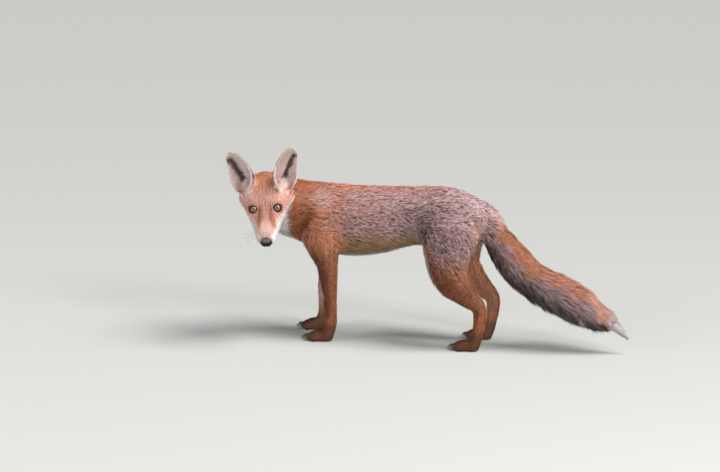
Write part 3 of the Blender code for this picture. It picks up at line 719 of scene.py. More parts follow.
# The deep fold of each hollow is painted dark, partly for its bare skin and partly as painted shade; it is
# drawn wider on the fox's right ear.
slit_width = np.where(y > 0, 0.28, 0.42)
shaded_slit = np.exp(-np.abs((ear_across + 0.05 * waver(outer, 0.009, 21) - slit_middle) / slit_width) ** 3)
shaded_slit *= ramp(ear_height, 0.02, 0.14) * (1 - ramp(ear_height, 0.72, 0.90)) * inside_ear
dark = most(dark, ear_back * ramp(ear_height + 0.05 * patchy, 0.12, 0.35) * (1 - ear_rim))
# Painted light: the lining and the floor of the cup are made paler and pinker, partly their own pale hair and
# partly light that shines through the ear; the rim is pale, partly its hair and partly painted rim light.
pale = most(pale, 0.60 * inside_ear, 0.62 * in_cup, ear_rim)
pinkish = most(pinkish, inside_ear)
print("slits", int((shaded_slit > 0.5).sum()), "points")

# %% Gather the markings
MARKS = {
    "rust": spread(rust_coat, 2), "grizzled": spread(grizzled, 3), "ochre": spread(ochre, 3),
    "pale": spread(pale, 2), "dark": most(spread(dark, 1), eye_ring), "pinkish": spread(pinkish, 3)}
MARKS = {name: np.clip(mask, 0, 1) for name, mask in MARKS.items()}
for name, mask in MARKS.items():
    print(name, "covers", round(float(mask.mean()) * 100, 1), "% of the skin's points")

# %% [markdown]
# ## The coat's colour as one recipe
# A fox's hair isn't one colour along its length: it is dark at the root, coloured in the middle and often
# pale at the tip. A node group holds one colour ramp for each kind of hair and mixes them by the masks, so
# the skin and every lock use the same recipe. Only the colour leaves the group, and the shader stays in
# each material.


# %% Helpers for shader nodes
def add_node(tree, kind, inputs=None, **settings):
    node = tree.nodes.new(kind)
    for key, value in settings.items():
        setattr(node, key, value)
    for key, value in (inputs or {}).items():
        if isinstance(value, bpy.types.NodeSocket):
            tree.links.new(value, node.inputs[key])
        else:
            node.inputs[key].default_value = value
    return node


def colour_ramp(tree, factor, stops):
    node = add_node(tree, "ShaderNodeValToRGB", {"Fac": factor})
    elements = node.color_ramp.elements
    while len(elements) > 1:
        elements.remove(elements[-1])
    for index, (place, colour) in enumerate(stops):
        element = elements[0] if index == 0 else elements.new(place)
        element.position, element.color = place, (*colour, 1)
    return node.outputs["Color"]


def mixed(tree, factor, first, second, blend="MIX"):
    node = add_node(tree, "ShaderNodeMix", data_type="RGBA", blend_type=blend)
    for socket, value in (("Factor_Float", factor), ("A_Color", first), ("B_Color", second)):
        target = next(s for s in node.inputs if s.identifier == socket)
        if isinstance(value, bpy.types.NodeSocket):
            tree.links.new(value, target)
        else:
            target.default_value = value
    return next(s for s in node.outputs if s.identifier == "Result_Color")


def maths(tree, operation, *values, clamp=False):
    node = add_node(tree, "ShaderNodeMath", dict(enumerate(values)), operation=operation, use_clamp=clamp)
    return node.outputs[0]


print("helpers for shader nodes are ready")


# %% Helpers for patterns and finishes
def noise(tree, scale, detail=2.0):
    """Noise that stays put on the piece."""
    place = add_node(tree, "ShaderNodeTexCoord").outputs["Object"]
    node = add_node(tree, "ShaderNodeTexNoise", {"Vector": place, "Scale": scale, "Detail": detail})
    return node.outputs["Fac"]


def cells(tree, scale, feature="F1"):
    place = add_node(tree, "ShaderNodeTexCoord").outputs["Object"]
    node = add_node(tree, "ShaderNodeTexVoronoi", {"Vector": place, "Scale": scale}, feature=feature)
    return node.outputs["Distance"]


def attribute(tree, name):
    return add_node(tree, "ShaderNodeAttribute", attribute_name=name).outputs["Fac"]


def raise_bumps(tree, shader, height, strength, distance):
    bump = add_node(tree, "ShaderNodeBump", {"Height": height, "Strength": strength, "Distance": distance})
    tree.links.new(bump.outputs["Normal"], shader.inputs["Normal"])
    return bump


def colour_with(tree, shader, colour):
    tree.links.new(colour, shader.inputs["Base Color"])


print("helpers for patterns and finishes are ready")

# %% Build the colour group
HAIRS = {
    "Red": [(0, (0.13, 0.042, 0.018)), (0.35, (0.46, 0.158, 0.064)), (0.72, (0.77, 0.310, 0.165)),
            (1, (0.92, 0.51, 0.39))],
    "Rust": [(0, (0.060, 0.018, 0.008)), (0.4, (0.27, 0.070, 0.018)), (1, (0.60, 0.200, 0.065))],
    "Ochre": [(0, (0.08, 0.042, 0.024)), (0.45, (0.31, 0.170, 0.080)), (1, (0.56, 0.360, 0.215))],
    "Pinkish": [(0, (0.24, 0.090, 0.062)), (0.40, (0.70, 0.320, 0.240)), (1, (0.97, 0.65, 0.58))],
    "Grizzled": [(0, (0.036, 0.024, 0.022)), (0.36, (0.085, 0.048, 0.042)), (0.54, (0.29, 0.140, 0.115)),
                 (0.74, (0.74, 0.48, 0.48)), (1, (0.93, 0.71, 0.75))],
    "Pale": [(0, (0.50, 0.43, 0.42)), (0.35, (0.76, 0.69, 0.68)), (1, (0.97, 0.93, 0.92))],
    "Dark": [(0, (0.010, 0.008, 0.008)), (0.6, (0.028, 0.021, 0.020)), (1, (0.060, 0.044, 0.042))],
}
coat_colour = bpy.data.node_groups.new("coat_colour", "ShaderNodeTree")
for socket in ("Along", "Chance", "Tuft", "Rust", "Ochre", "Pinkish", "Grizzled", "Pale", "Dark"):
    coat_colour.interface.new_socket(socket, in_out="INPUT", socket_type="NodeSocketFloat")
coat_colour.interface.new_socket("Color", in_out="OUTPUT", socket_type="NodeSocketColor")
given = coat_colour.nodes.new("NodeGroupInput").outputs
shift = maths(coat_colour, "MULTIPLY_ADD", given["Chance"], 0.44, -0.24)
place_along = maths(coat_colour, "ADD", given["Along"], shift, clamp=True)
colour = colour_ramp(coat_colour, place_along, HAIRS["Red"])
for kind in ("Rust", "Ochre", "Pinkish", "Grizzled", "Pale", "Dark"):
    colour = mixed(coat_colour, given[kind], colour, colour_ramp(coat_colour, place_along, HAIRS[kind]))
strand_light = maths(coat_colour, "MULTIPLY_ADD", given["Chance"], 0.30, 0.85)
tuft_light = maths(coat_colour, "MULTIPLY_ADD", given["Tuft"], 0.26, 0.86)
light = maths(coat_colour, "MULTIPLY", strand_light, tuft_light)
grey = add_node(coat_colour, "ShaderNodeCombineColor", {0: light, 1: light, 2: light})
colour = mixed(coat_colour, 1.0, colour, grey.outputs[0], "MULTIPLY")
leave = coat_colour.nodes.new("NodeGroupOutput")
coat_colour.links.new(colour, leave.inputs["Color"])
print("hair kinds", list(HAIRS))

# %% [markdown]
# ## Finish of the skin
# What shows of the skin is the short plush on the face, legs and ears, and dark shade between locks. Its
# colour is the coat's own, a little darker, with a fine noise as bump for the nap. The bare skin in the
# slits of the ears is the dark kind, darkened partly as painted shade of the deep fold. A painted texture
# could show the same, but it would blur where the hair starts.

# %% Paint the skin
PLUSH_PLACE = 0.36  # the plush takes its colour from this far along a hair
skin_finish, tree, shader = fresh_material("skin_finish", 0.7, 0.25)
nap, blotch = noise(tree, 900.0), noise(tree, 160.0, 3.0)
undercoat = add_node(tree, "ShaderNodeGroup", {"Along": PLUSH_PLACE, "Chance": nap, "Tuft": blotch},
                     node_tree=coat_colour)
for kind in MARKS:
    tree.links.new(attribute(tree, kind), undercoat.inputs[kind.capitalize()])
# The colour of the skin in the deep fold: partly bare dark skin, partly painted shade.
slit_skin_and_shade = mixed(tree, blotch, (0.065, 0.036, 0.033, 1), (0.15, 0.080, 0.072, 1))
colour_with(tree, shader, mixed(tree, attribute(tree, "bare"), undercoat.outputs["Color"], slit_skin_and_shade))
raise_bumps(tree, shader, nap, 0.5, 0.0006)
print("skin finish", len(tree.nodes), "nodes")


# %% Lay the markings on the skin
def store(mesh, name, values):
    layer = mesh.attributes.get(name) or mesh.attributes.new(name, "FLOAT", "POINT")
    layer.data.foreach_set("value", np.asarray(values, np.float32))


skin.data.vertices.foreach_set("co", inner.ravel())
skin.data.polygons.foreach_set("use_smooth", np.ones(len(skin.data.polygons), bool))
skin.data.update()
# In the ears' deep folds the skin is darkened, partly bare skin and partly painted shade, and the hollow is
# made paler, partly painted light that shines through the ear.
shown = dict(MARKS, bare=0.3 * shaded_slit, dark=most(MARKS["dark"], 0.95 * shaded_slit),
             pale=most(MARKS["pale"], 0.85 * inside_ear * ear_part))
for name, mask in shown.items():
    store(skin.data, name, mask)
skin.data.materials.clear()
skin.data.materials.append(skin_finish)
print("skin carries", list(shown))

# %% [markdown]
# ## A flat map of the skin
# A pelt laid flat shows every part of the animal once. The unwrap here does the same for the finished skin,
# so each lock can carry the place of its own root on that map. Seams cut by hand would follow the belly
# line, but a map that is only read by place doesn't need them, so the angle-based project is enough.

# %% Unwrap the skin and keep its triangles
bpy.context.view_layer.objects.active = skin
skin.select_set(True)
bpy.ops.object.mode_set(mode="EDIT")
bpy.ops.mesh.select_all(action="SELECT")
bpy.ops.uv.smart_project(angle_limit=1.15, island_margin=0.002)
bpy.ops.object.mode_set(mode="OBJECT")
skin.data.uv_layers[0].name = "OFBake"
skin.data.calc_loop_triangles()


def read_triangles(key):
    out = np.empty(len(skin.data.loop_triangles) * 3, np.int32)
    skin.data.loop_triangles.foreach_get(key, out)
    return out.reshape(-1, 3)


triangle_points, triangle_loops = read_triangles("vertices"), read_triangles("loops")
skin_uv = np.empty(len(skin.data.loops) * 2)
skin.data.uv_layers["OFBake"].data.foreach_get("uv", skin_uv)
skin_uv = skin_uv.reshape(-1, 2)
skin_normal = unit(0.3 * read_points(skin.data, "normal") + 0.7 * eased_facing)
corner_a, corner_b, corner_c = inner[triangle_points].transpose(1, 0, 2)
triangle_area = np.linalg.norm(np.cross(corner_b - corner_a, corner_c - corner_a), axis=1) / 2
print("skin", len(triangle_points), "triangles,", round(float(triangle_area.sum()), 3), "square metres")

# %% [markdown]
# ## How the coat grows
# Every lock is a thin tapered strip of a few triangles. Its root is a random place on the skin, and it
# follows the lie of the coat while it rises to the coat's depth and flattens there. Real hairs gather into
# tufts, so each lock leans towards the nearest of a set of leaders, most of all at its tip. Particle hair
# would comb more freely, but an exported model drops it, so the locks are made as joined meshes from
# arrays.

# %% Choose the roots
NOSE_REACH = (0.0095, 0.0122, 0.0084)
skin_tree = tree_of(inner)
on_nose = np.linalg.norm((head_spot - in_head(nose_middle)) / NOSE_REACH, axis=1) < 1
bald = (eye_gap < EYE_RADIUS + 0.0008) | (mouth_line > 0.45) | on_nose


def pick_roots(dice, weight, count):
    """Random places on the skin, closest where weight is greatest.

    It gives the triangle of each, the shares of its corners, and the area of the ground that all stand on."""
    share = triangle_area * weight[triangle_points[:, 0]] * ~bald[triangle_points].any(1)
    picked = dice.choice(len(share), count, p=share / share.sum())
    edge_a, edge_b = dice.random((2, count))
    flip = edge_a + edge_b > 1
    edge_a[flip], edge_b[flip] = 1 - edge_a[flip], 1 - edge_b[flip]
    return picked, np.stack([1 - edge_a - edge_b, edge_a, edge_b], 1), triangle_area[share > 0].sum()


print("bald", int(bald.sum()), "points")


# %% Shape a lock
STOPS = {2: (0.0, 0.5, 1.0), 3: (0.0, 0.33, 0.68, 1.0)}  # the places along a lock, by its number of steps
TAPER = {2: (1.0, 0.78, 0.0), 3: (0.95, 1.0, 0.62, 0.0)}  # its width there


def strips(line, steps, normal, end_normal, half, roll):
    """Corners, shading normals and places along the lock, for a flat tapered strip on each line."""
    vertices, shading, along = [], [], []
    for number, (t, taper) in enumerate(zip(STOPS[steps], TAPER[steps])):
        ahead_of = unit(line[min(number + 1, steps)] - line[max(number - 1, 0)])
        up = unit(normal * (1 - t) + end_normal * t)
        side = unit(np.cross(ahead_of, up))
        across_strip = unit(side * np.cos(roll)[:, None] + up * np.sin(roll)[:, None])
        soft = unit(0.60 * up + 0.40 * unit(np.cross(across_strip, ahead_of)))
        for hand in ((-1, 1) if taper > 0 else (0,)):
            vertices.append(line[number] + across_strip * (half * taper)[:, None] * hand)
            shading.append(unit(soft + 0.35 * hand * across_strip))
            along.append(np.full(len(half), t))
    return np.stack(vertices, 1), np.stack(shading, 1), np.stack(along, 1)


print("a lock has", [2 * steps - 1 for steps in STOPS], "triangles")

# %% Join the locks into one mesh
PATCH = 0.003  # the side of a lock's patch on the skin's map


def strip_mesh(name, vertices, shading):
    """One mesh of all strips, and the corners that its faces join."""
    count, rows = vertices.shape[:2]
    pattern = []
    for a in range(0, rows - 3, 2):
        pattern += [(a, a + 1, a + 3), (a, a + 3, a + 2)]
    pattern.append((rows - 3, rows - 2, rows - 1))
    faces = (np.arange(count)[:, None, None] * rows + np.array(pattern)[None]).reshape(-1, 3)
    mesh = bpy.data.meshes.new(name)
    mesh.vertices.add(count * rows)
    mesh.vertices.foreach_set("co", vertices.astype(np.float32).ravel())
    mesh.loops.add(faces.size)
    mesh.loops.foreach_set("vertex_index", faces.astype(np.int32).ravel())
    mesh.polygons.add(len(faces))
    mesh.polygons.foreach_set("loop_start", np.arange(0, faces.size, 3, dtype=np.int32))
    mesh.polygons.foreach_set("use_smooth", np.ones(len(faces), bool))
    mesh.update(calc_edges=True)
    mesh.normals_split_custom_set_from_vertices(shading.reshape(-1, 3).astype(np.float32))
    return mesh, faces


def map_locks(mesh, faces, uv, along):
    """Each lock is a small patch at its root's place on the skin's map."""
    count, rows = along.shape
    patch = np.repeat(uv[:, None, :], rows, axis=1)
    patch[:, :, 1] += (along.mean(0) - 0.5) * PATCH
    patch[:, 0:rows - 1:2, 0] -= PATCH * 0.25
    patch[:, 1:rows - 1:2, 0] += PATCH * 0.25
    corners = np.clip(patch.reshape(-1, 2)[faces.ravel()], 0, 1)
    mesh.uv_layers.new(name="OFBake").data.foreach_set("uv", corners.astype(np.float32).ravel())


def carry_marks(mesh, dice, at_root, rows):
    """Each lock keeps the markings of the place where it is rooted."""
    for kind in MARKS:
        mask = at_root(MARKS[kind])
        if kind in ("dark", "pinkish"):
            mask = np.clip(mask * dice.uniform(0.7, 1.3, len(mask)), 0, 1)
        else:  # a lock is of one kind or the other, so two kinds mix as whole locks
            mask = ramp(mask + (dice.random(len(mask)) - 0.5) * 4.0 * mask * (1 - mask), 0.25, 0.75)
        store(mesh, kind, np.repeat(mask, rows))


print("a lock's patch on the map is", PATCH, "wide")

# %% [markdown]
# ## The bend of a hair
# A hair leaves the skin at a slant, rises, and then lies down along the body, with its tip over the roots of
# the hairs behind it. A simulation could let every hair fall into place, but there are hundreds of
# thousands of them, so one short curve is worked out for all of them at once.


# %% Bend the locks over the skin
def settle(root, normal, heading, long, follow):
    """Where each lock's end comes down on the skin, and which way is up there.

    An end that finds no skin near it, as beyond the tip of an ear, stays in the air."""
    target = root + heading * long[:, None]
    below = nearest(skin_tree, target)
    gap = target - inner[below]
    holds = (follow * (1 - ramp(np.linalg.norm(gap, axis=1) / long, 0.25, 0.55)))[:, None]
    end_normal = skin_normal[below] * holds + normal * (1 - holds)
    end = target - end_normal * (gap * end_normal).sum(1)[:, None] * holds
    return end, unit(end_normal + 0.35 * normal)


def bend(root, end, normal, end_normal, reach, high, sway, steps):
    """Points along each lock, which sets out along its reach, rises and lies down flat at its end."""
    line = []
    for t in STOPS[steps]:
        lifted = high * (1.75 * t - 0.75 * t * t)
        spot = root + (end - root) * t + (reach - (end - root)) * (t - t * t)
        spot = spot + unit(normal * (1 - t) + end_normal * t) * lifted[:, None]
        line.append(spot + sway * math.sin(2.2 * math.pi * t))
    return line


def gather(line, leader, pull, steps):
    """Locks lean to their tuft's leader, most of all at their tips."""
    return [spot + (spot[leader] - spot) * (pull * t ** 1.4) for t, spot in zip(STOPS[steps], line)]


print("locks bend at", STOPS)

# %% Growing function
# The short locks between the others: how many there are, and their size and tip colour against a full lock's.
UNDER_SHARE, UNDER_LENGTH, UNDER_HEIGHT, UNDER_TIP = 0.28, 0.66, 0.60, 0.62
SOLE_GAP = 0.0006
growing = {}


def grow(name, chosen, count, length, width, tuft_size, seed, steps=2, rise=0.95, pull=0.28, stray=0.20,
         wave=0.0, swing=0.0, follow=1.0, density=1.0, fade=0.0):
    """Roots count locks on the chosen skin points and joins them into one mesh.

    length, width, tuft_size and rise may each be one number or an array over the skin's points. pull draws
    tips to their tuft's leader, stray turns tufts and locks, wave and swing bend them, follow holds the ends
    to the skin, and fade takes the dark root out of the colour."""
    dice = np.random.default_rng(seed)
    picked, shares, ground = pick_roots(dice, np.asarray(chosen, float) * density, count)
    points = triangle_points[picked]

    def at_root(values):
        values = np.broadcast_to(np.asarray(values, float), COUNT) if np.ndim(values) < 2 else values
        return (values[points] * shares.reshape(count, 3, *[1] * (values.ndim - 1))).sum(1)

    root, normal, flow = at_root(inner), unit(at_root(skin_normal)), at_root(lie)
    flow = unit(flow - normal * (flow * normal).sum(1)[:, None])
    chance = dice.random(count)

    leaders = min(count, max(1, int(ground / at_root(tuft_size).mean() ** 2)))
    leader = nearest(tree_of(root[:leaders]), root)
    tuft_chance = dice.random(leaders)[leader]
    tuft_turn = dice.normal(0, stray, leaders)[leader]
    tuft_lift = dice.uniform(0.82, 1.14, leaders)[leader]

    turn = tuft_turn + dice.normal(0, stray * 0.5, count) + swing * waver(root, 0.020, 77)
    sideways = np.cross(normal, flow)
    heading = flow * np.cos(turn)[:, None] + sideways * np.sin(turn)[:, None]
    under = dice.random(count) < UNDER_SHARE
    long = at_root(length) * dice.uniform(0.80, 1.12, count) * np.where(under, UNDER_LENGTH, 1.0)
    high = at_root(depth) * at_root(rise) * tuft_lift * dice.uniform(0.82, 1.08, count)
    high *= np.where(under, UNDER_HEIGHT, 1.0)

    end, end_normal = settle(root, normal, heading, long, follow)
    sway = sideways * (wave * long * (tuft_chance - 0.5) * 2)[:, None]
    line = bend(root, end, normal, end_normal, heading * long[:, None], high, sway, steps)
    line = gather(line, leader, pull, steps)
    roll = dice.normal(0, 0.5, count)
    half = at_root(width) * dice.uniform(0.75, 1.2, count) / 2
    vertices, shading, along = strips(line, steps, normal, end_normal, half, roll)
    vertices[:, :, 2] = np.maximum(vertices[:, :, 2], SOLE_GAP)
    along = along * np.where(under, UNDER_TIP, 1.0)[:, None]
    mesh, faces = strip_mesh(name, vertices, shading)

    rows = along.shape[1]
    store(mesh, "along", (fade + (1 - fade) * along).ravel())
    store(mesh, "chance", np.repeat(chance, rows))
    store(mesh, "tuft", np.repeat(tuft_chance, rows))
    carry_marks(mesh, dice, at_root, rows)
    map_locks(mesh, faces, (skin_uv[triangle_loops[picked]] * shares[:, :, None]).sum(1), along)
    lock = add_object(name, mesh)
    mesh.materials.append(coat_finish)
    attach(lock, "root")
    growing[name] = len(faces)
    print(name, count, "locks,", len(faces), "triangles,", leaders, "tufts, mean length",
          round(float(long.mean()) * 1000, 1), "mm")
    return lock


# %% [markdown]
# ## Finish of the coat
# Hair is half matt and half glossy: a broad soft sheen runs over it, but no single strand glints like
# metal. The colour comes from the shared recipe, read from the values that each lock carries. One flat
# colour for each piece would be lighter, but the markings would then end in hard lines.

# %% Paint the coat
coat_finish, tree, shader = fresh_material("coat_finish", 0.55, 0.35)
recipe = add_node(tree, "ShaderNodeGroup", node_tree=coat_colour)
for name in ("along", "chance", "tuft", *MARKS):
    tree.links.new(attribute(tree, name), recipe.inputs[name.capitalize()])
colour_with(tree, shader, recipe.outputs["Color"])
print("coat finish", len(tree.nodes), "nodes")

# %% [markdown]
# ## Glass eyes
# A model's eyes are glass domes with the iris behind them. Each eyeball here is turned about its own line
# of sight, with a slight bulge for the cornea, and every point keeps how far it lies from that line, so
# that the pupil, the iris and its dark edge are drawn by a colour ramp. A clear coat on the shader gives
# the wet highlight.


# %% Helpers for turned shapes
def grid_object(name, rows, closed_ends=(False, False)):
    """A tube of points, rows x around x 3, as a smooth mesh. A closed end gathers its row in one point."""
    points, starts = [], []
    last = len(rows) - 1
    for index, row in enumerate(rows):
        starts.append(len(points))
        end = (index == 0 and closed_ends[0]) or (index == last and closed_ends[1])
        points += [row.mean(0)] if end else list(row)
    around = len(rows[0])
    faces = []
    for index in range(last):
        a, b = starts[index], starts[index + 1]
        for k in range(around):
            n = (k + 1) % around
            if index == 0 and closed_ends[0]:
                faces.append((a, b + n, b + k))
            elif index == last - 1 and closed_ends[1]:
                faces.append((a + k, a + n, b))
            else:
                faces.append((a + k, a + n, b + n, b + k))
    mesh = bpy.data.meshes.new(name)
    mesh.from_pydata([tuple(p) for p in points], [], faces)
    mesh.polygons.foreach_set("use_smooth", np.ones(len(faces), bool))
    shape = bmesh.new()
    shape.from_mesh(mesh)
    bmesh.ops.recalc_face_normals(shape, faces=shape.faces)
    shape.to_mesh(mesh)
    shape.free()
    return add_object(name, mesh)


def full_turn(points):
    return np.linspace(0, 2 * math.pi, points, endpoint=False)


print("helpers for turned shapes are ready")

# %% Paint the eyes
IRIS = 0.72  # the iris's radius as a share of the eyeball's
PUPIL_WIDE, PUPIL_TALL = 0.20, 0.28
eye_finish, tree, shader = fresh_material("eye_finish", 0.12)
shader.inputs["Coat Weight"].default_value = 1.0
shader.inputs["Coat Roughness"].default_value = 0.02
fibre = add_node(tree, "ShaderNodeAttribute", attribute_name="fibre").outputs["Vector"]
streaks = add_node(tree, "ShaderNodeTexNoise", {"Vector": fibre, "Scale": 5.0, "Detail": 3.0}).outputs["Fac"]
iris = colour_ramp(tree, attribute(tree, "from_sight"), [
    (0.0, (0.10, 0.05, 0.030)), (0.28, (0.13, 0.062, 0.036)), (0.38, (0.36, 0.220, 0.155)),
    (0.50, (0.30, 0.170, 0.110)), (IRIS - 0.09, (0.12, 0.058, 0.034)), (IRIS, (0.010, 0.006, 0.005)),
    (0.80, (0.03, 0.02, 0.02)), (1.0, (0.06, 0.04, 0.04))])
streak_colour = colour_ramp(tree, streaks, [(0.35, (0.35, 0.30, 0.26)), (0.65, (1.0, 0.97, 0.92))])
pupil = maths(tree, "LESS_THAN", attribute(tree, "from_pupil"), 1.0)
streaked = mixed(tree, 0.45, iris, streak_colour, "MULTIPLY")
colour_with(tree, shader, mixed(tree, pupil, streaked, (0.004, 0.003, 0.003, 1)))
print("iris", round(IRIS * EYE_RADIUS * 2000, 1), "mm wide")

# %% Make the eyeballs
BULGE = 0.0009  # of the cornea
eye_directions = {}
for side, centre in (("left", np.array(eye_left)), ("right", np.array(eye_right))):
    outwards = np.array(across) * (1 if side == "left" else -1)
    gaze = unit(unit(np.array(camera.location) - centre) + 0.06 * outwards)
    lift = unit(np.array(above) - gaze * (np.array(above) @ gaze))
    level = np.cross(lift, gaze)
    level *= np.sign(level @ outwards)
    eye_directions[side] = (centre, gaze, lift, level)
    turns = full_turn(48)
    ring = np.outer(np.cos(turns), level) + np.outer(np.sin(turns), lift)
    rows = []
    for a in np.linspace(0, math.pi, 29):
        radius = EYE_RADIUS * 0.985 + BULGE * math.exp(-(a / 0.60) ** 4)
        rows.append(centre + radius * (math.cos(a) * gaze + math.sin(a) * ring))
    ball = grid_object("eyeball_" + side, rows, (True, True))
    local = read_points(ball.data, "co") - centre
    flat = np.stack([local @ level, local @ lift], 1) / EYE_RADIUS
    from_sight = np.linalg.norm(flat, axis=1) + 1e-6
    from_pupil = np.hypot(flat[:, 0] / PUPIL_WIDE, flat[:, 1] / PUPIL_TALL)
    before = local @ gaze > 0
    store(ball.data, "from_sight", np.where(before, from_sight, 1.0))
    store(ball.data, "from_pupil", np.where(before, from_pupil, 9.0))
    fibres = np.column_stack([flat / from_sight[:, None] * 3, from_sight * 0.6])
    layer = ball.data.attributes.new("fibre", "FLOAT_VECTOR", "POINT")
    layer.data.foreach_set("vector", fibres.ravel().astype(np.float32))
    ball.data.materials.append(eye_finish)
    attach(ball, "root")
    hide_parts("eye_" + side)
    print(ball.name, "looks along", gaze.round(2))

# %% [markdown]
# ## Eyelids
# The lids are the dark, bare edges that hug the eyeball, pointed at both corners and longer towards the
# nose. A ring of points follows that almond, and further rings roll it over the ball and down under the
# hair. Carving them into the skin's own mesh would need a far finer grid, so they are their own thin
# pieces.

# %% Paint the lids
lid_finish, tree, shader = fresh_material("lid_finish", 0.5, 0.3)
creases = noise(tree, 1400.0)
bare_rim = colour_ramp(tree, creases, [(0.3, (0.006, 0.003, 0.003)), (0.7, (0.016, 0.007, 0.006))])
lid_plush = colour_ramp(tree, creases, [(0.3, (0.14, 0.055, 0.035)), (0.7, (0.46, 0.200, 0.140))])
plush_share = colour_ramp(tree, attribute(tree, "from_rim"), [(0.15, (0, 0, 0)), (0.65, (1, 1, 1))])
colour_with(tree, shader, mixed(tree, plush_share, bare_rim, lid_plush))
raise_bumps(tree, shader, creases, 0.4, 0.0003)
print("lid finish", len(tree.nodes), "nodes")

# %% Draw the almond of the lids
LID_HALF_WIDTH, LID_HALF_UP, LID_HALF_DOWN = 0.0079, 0.0059, 0.0061
LID_SLANT = math.radians(16)
INNER_CORNER = 1.15  # the corner next to the nose is drawn out this much
turns = full_turn(64)
wide = np.cos(turns) * LID_HALF_WIDTH
wide = np.where(wide < 0, wide * INNER_CORNER, wide)
tall = np.sign(np.sin(turns)) * np.abs(np.sin(turns)) ** 1.18
tall *= np.where(np.sin(turns) > 0, LID_HALF_UP, LID_HALF_DOWN)
tall -= 0.0014 * ramp(-wide, 0.0045, 0.0090)
almond = np.stack([wide * math.cos(LID_SLANT) - tall * math.sin(LID_SLANT),
                   wide * math.sin(LID_SLANT) + tall * math.cos(LID_SLANT)], 1)
print("lids", LID_HALF_WIDTH * 2000, "mm wide")


# %% Roll the lids
def height_round(centre, gaze, socket):
    """How far forward the skin lies under each point of a ring round the eye, eased along the ring."""
    near = inner[eye_gap < EYE_RADIUS * 2.2] - centre
    forward = near @ gaze
    beside = (near - np.outer(forward, gaze))[forward > -0.003]
    forward = forward[forward > -0.003]
    heights = []
    for spot in socket:
        close = np.linalg.norm(beside - spot, axis=1) < 0.0026
        heights.append(forward[close].max() if close.any() else 0.003)
    heights = np.array(heights)
    for _ in range(12):
        heights = (np.roll(heights, 1) + heights + np.roll(heights, -1)) / 3
    return heights


LID_RINGS = (  # share of the almond, height over the eyeball
    (0.96, -0.0006), (0.96, 0.0002), (1.02, 0.0007), (1.12, 0.0006))
SKIRT_RINGS = (  # share of the way to the skin, height over the straight line, distance from the bare rim
    (0.35, 0.0005, 0.15), (0.70, 0.0006, 0.45), (1.0, 0.0004, 0.75), (1.35, -0.0012, 1.0))
for side, (centre, gaze, lift, level) in eye_directions.items():
    plane = np.stack([level, lift])
    rows, rims = [], []
    for scale, gap in LID_RINGS:
        reach = np.linalg.norm(almond * scale, axis=1)[:, None]
        angle = reach / EYE_RADIUS
        ring = (almond * scale / reach) @ plane
        rows.append(centre + (EYE_RADIUS + 0.0002 + gap) * (np.cos(angle) * gaze + np.sin(angle) * ring))
        rims += [0.0] * len(turns)
    socket = np.stack([np.cos(turns + LID_SLANT), np.sin(turns + LID_SLANT)], 1) @ plane * EYE_RADIUS * 1.14
    heights = height_round(centre, gaze, socket)
    edge, landing = rows[-1], centre + socket + np.outer(heights, gaze)
    for share, bulge, rim in SKIRT_RINGS:
        rows.append(edge + (landing - edge) * share + gaze * bulge)
        rims += list(rim * (1 - 0.65 * np.abs(np.cos(turns)) ** 8))
    lid = grid_object("lids_" + side, rows)
    store(lid.data, "from_rim", rims)
    lid.data.materials.append(lid_finish)
    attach(lid, "root")
    print(lid.name, "land forward by", (heights.min() * 1000).round(1), "to", (heights.max() * 1000).round(1))

# %% [markdown]
# ## Nose leather
# The nose is bare, pebbled leather with a comma-shaped nostril on each side and a groove down the middle.
# It starts as a ball of the body form's own size, and each feature presses some of its points in. The
# pebbles are too small to model, so they are cells in the bump.

# %% Shape the nose
NOSTRIL = np.array((0.70, 0.56, -0.10))
NOSTRIL_DEPTH, SLOT_DEPTH, WING_RISE, GROOVE_DEPTH = 0.0048, 0.0026, 0.0007, 0.0011
nose_spots = in_head(read_points(nodes["nose"].data, "co"))
nose_centre = (nose_spots.max(0) + nose_spots.min(0)) / 2
nose_radii = (nose_spots.max(0) - nose_spots.min(0)) / 2
turns = full_turn(72)
rows = []
for a in np.linspace(0, math.pi, 41):
    ring = np.stack([np.full(72, math.cos(a)), math.sin(a) * np.cos(turns), math.sin(a) * np.sin(turns)], 1)
    before, aside, high = ring.T
    spot = nose_centre + np.sign(ring) * np.abs(ring) ** 0.82 * nose_radii * (1.04, 1.06, 0.98)
    for hand in (-1, 1):
        miss = ring - unit(NOSTRIL * (1, hand, 1))
        pit = hump(miss[:, 1], 0, 0.20) * hump(miss[:, 2], 0.35 * hand * miss[:, 1], 0.24) * (before > 0)
        slot_out = hump(high, -0.30, 0.10) * ramp(hand * aside, 0.55, 0.80) * ramp(before, -0.1, 0.3)
        wing = hump(hand * aside, 0.78, 0.20) * hump(high, 0.12, 0.35) * (before > -0.2)
        spot += ring * (WING_RISE * wing - NOSTRIL_DEPTH * pit - SLOT_DEPTH * slot_out)[:, None]
    groove = hump(aside, 0, 0.07) * ramp(0.45 - high, 0.0, 0.3) * ramp(before, -0.1, 0.3)
    rows.append(from_head(spot - ring * (GROOVE_DEPTH * groove)[:, None]))
nose_leather = grid_object("nose_leather", rows, (True, True))
nose_height = (in_head(read_points(nose_leather.data, "co")) - nose_centre)[:, 2] / nose_radii[2]
# Painted reflection: the upper side of the leather is marked to turn lilac grey, for the sky's sheen on it.
store(nose_leather.data, "painted_sky_reflection", 0.75 * ramp(nose_height, 0.45, 1.02))
print("nose", (nose_radii * 2000).round(1), "mm")

# %% Paint the nose
nose_finish, tree, shader = fresh_material("nose_finish", 0.4, 0.20)
worn = noise(tree, 220.0, 3.0)
leather = colour_ramp(tree, worn, [(0.3, (0.003, 0.0026, 0.003)), (0.7, (0.009, 0.0078, 0.0085))])
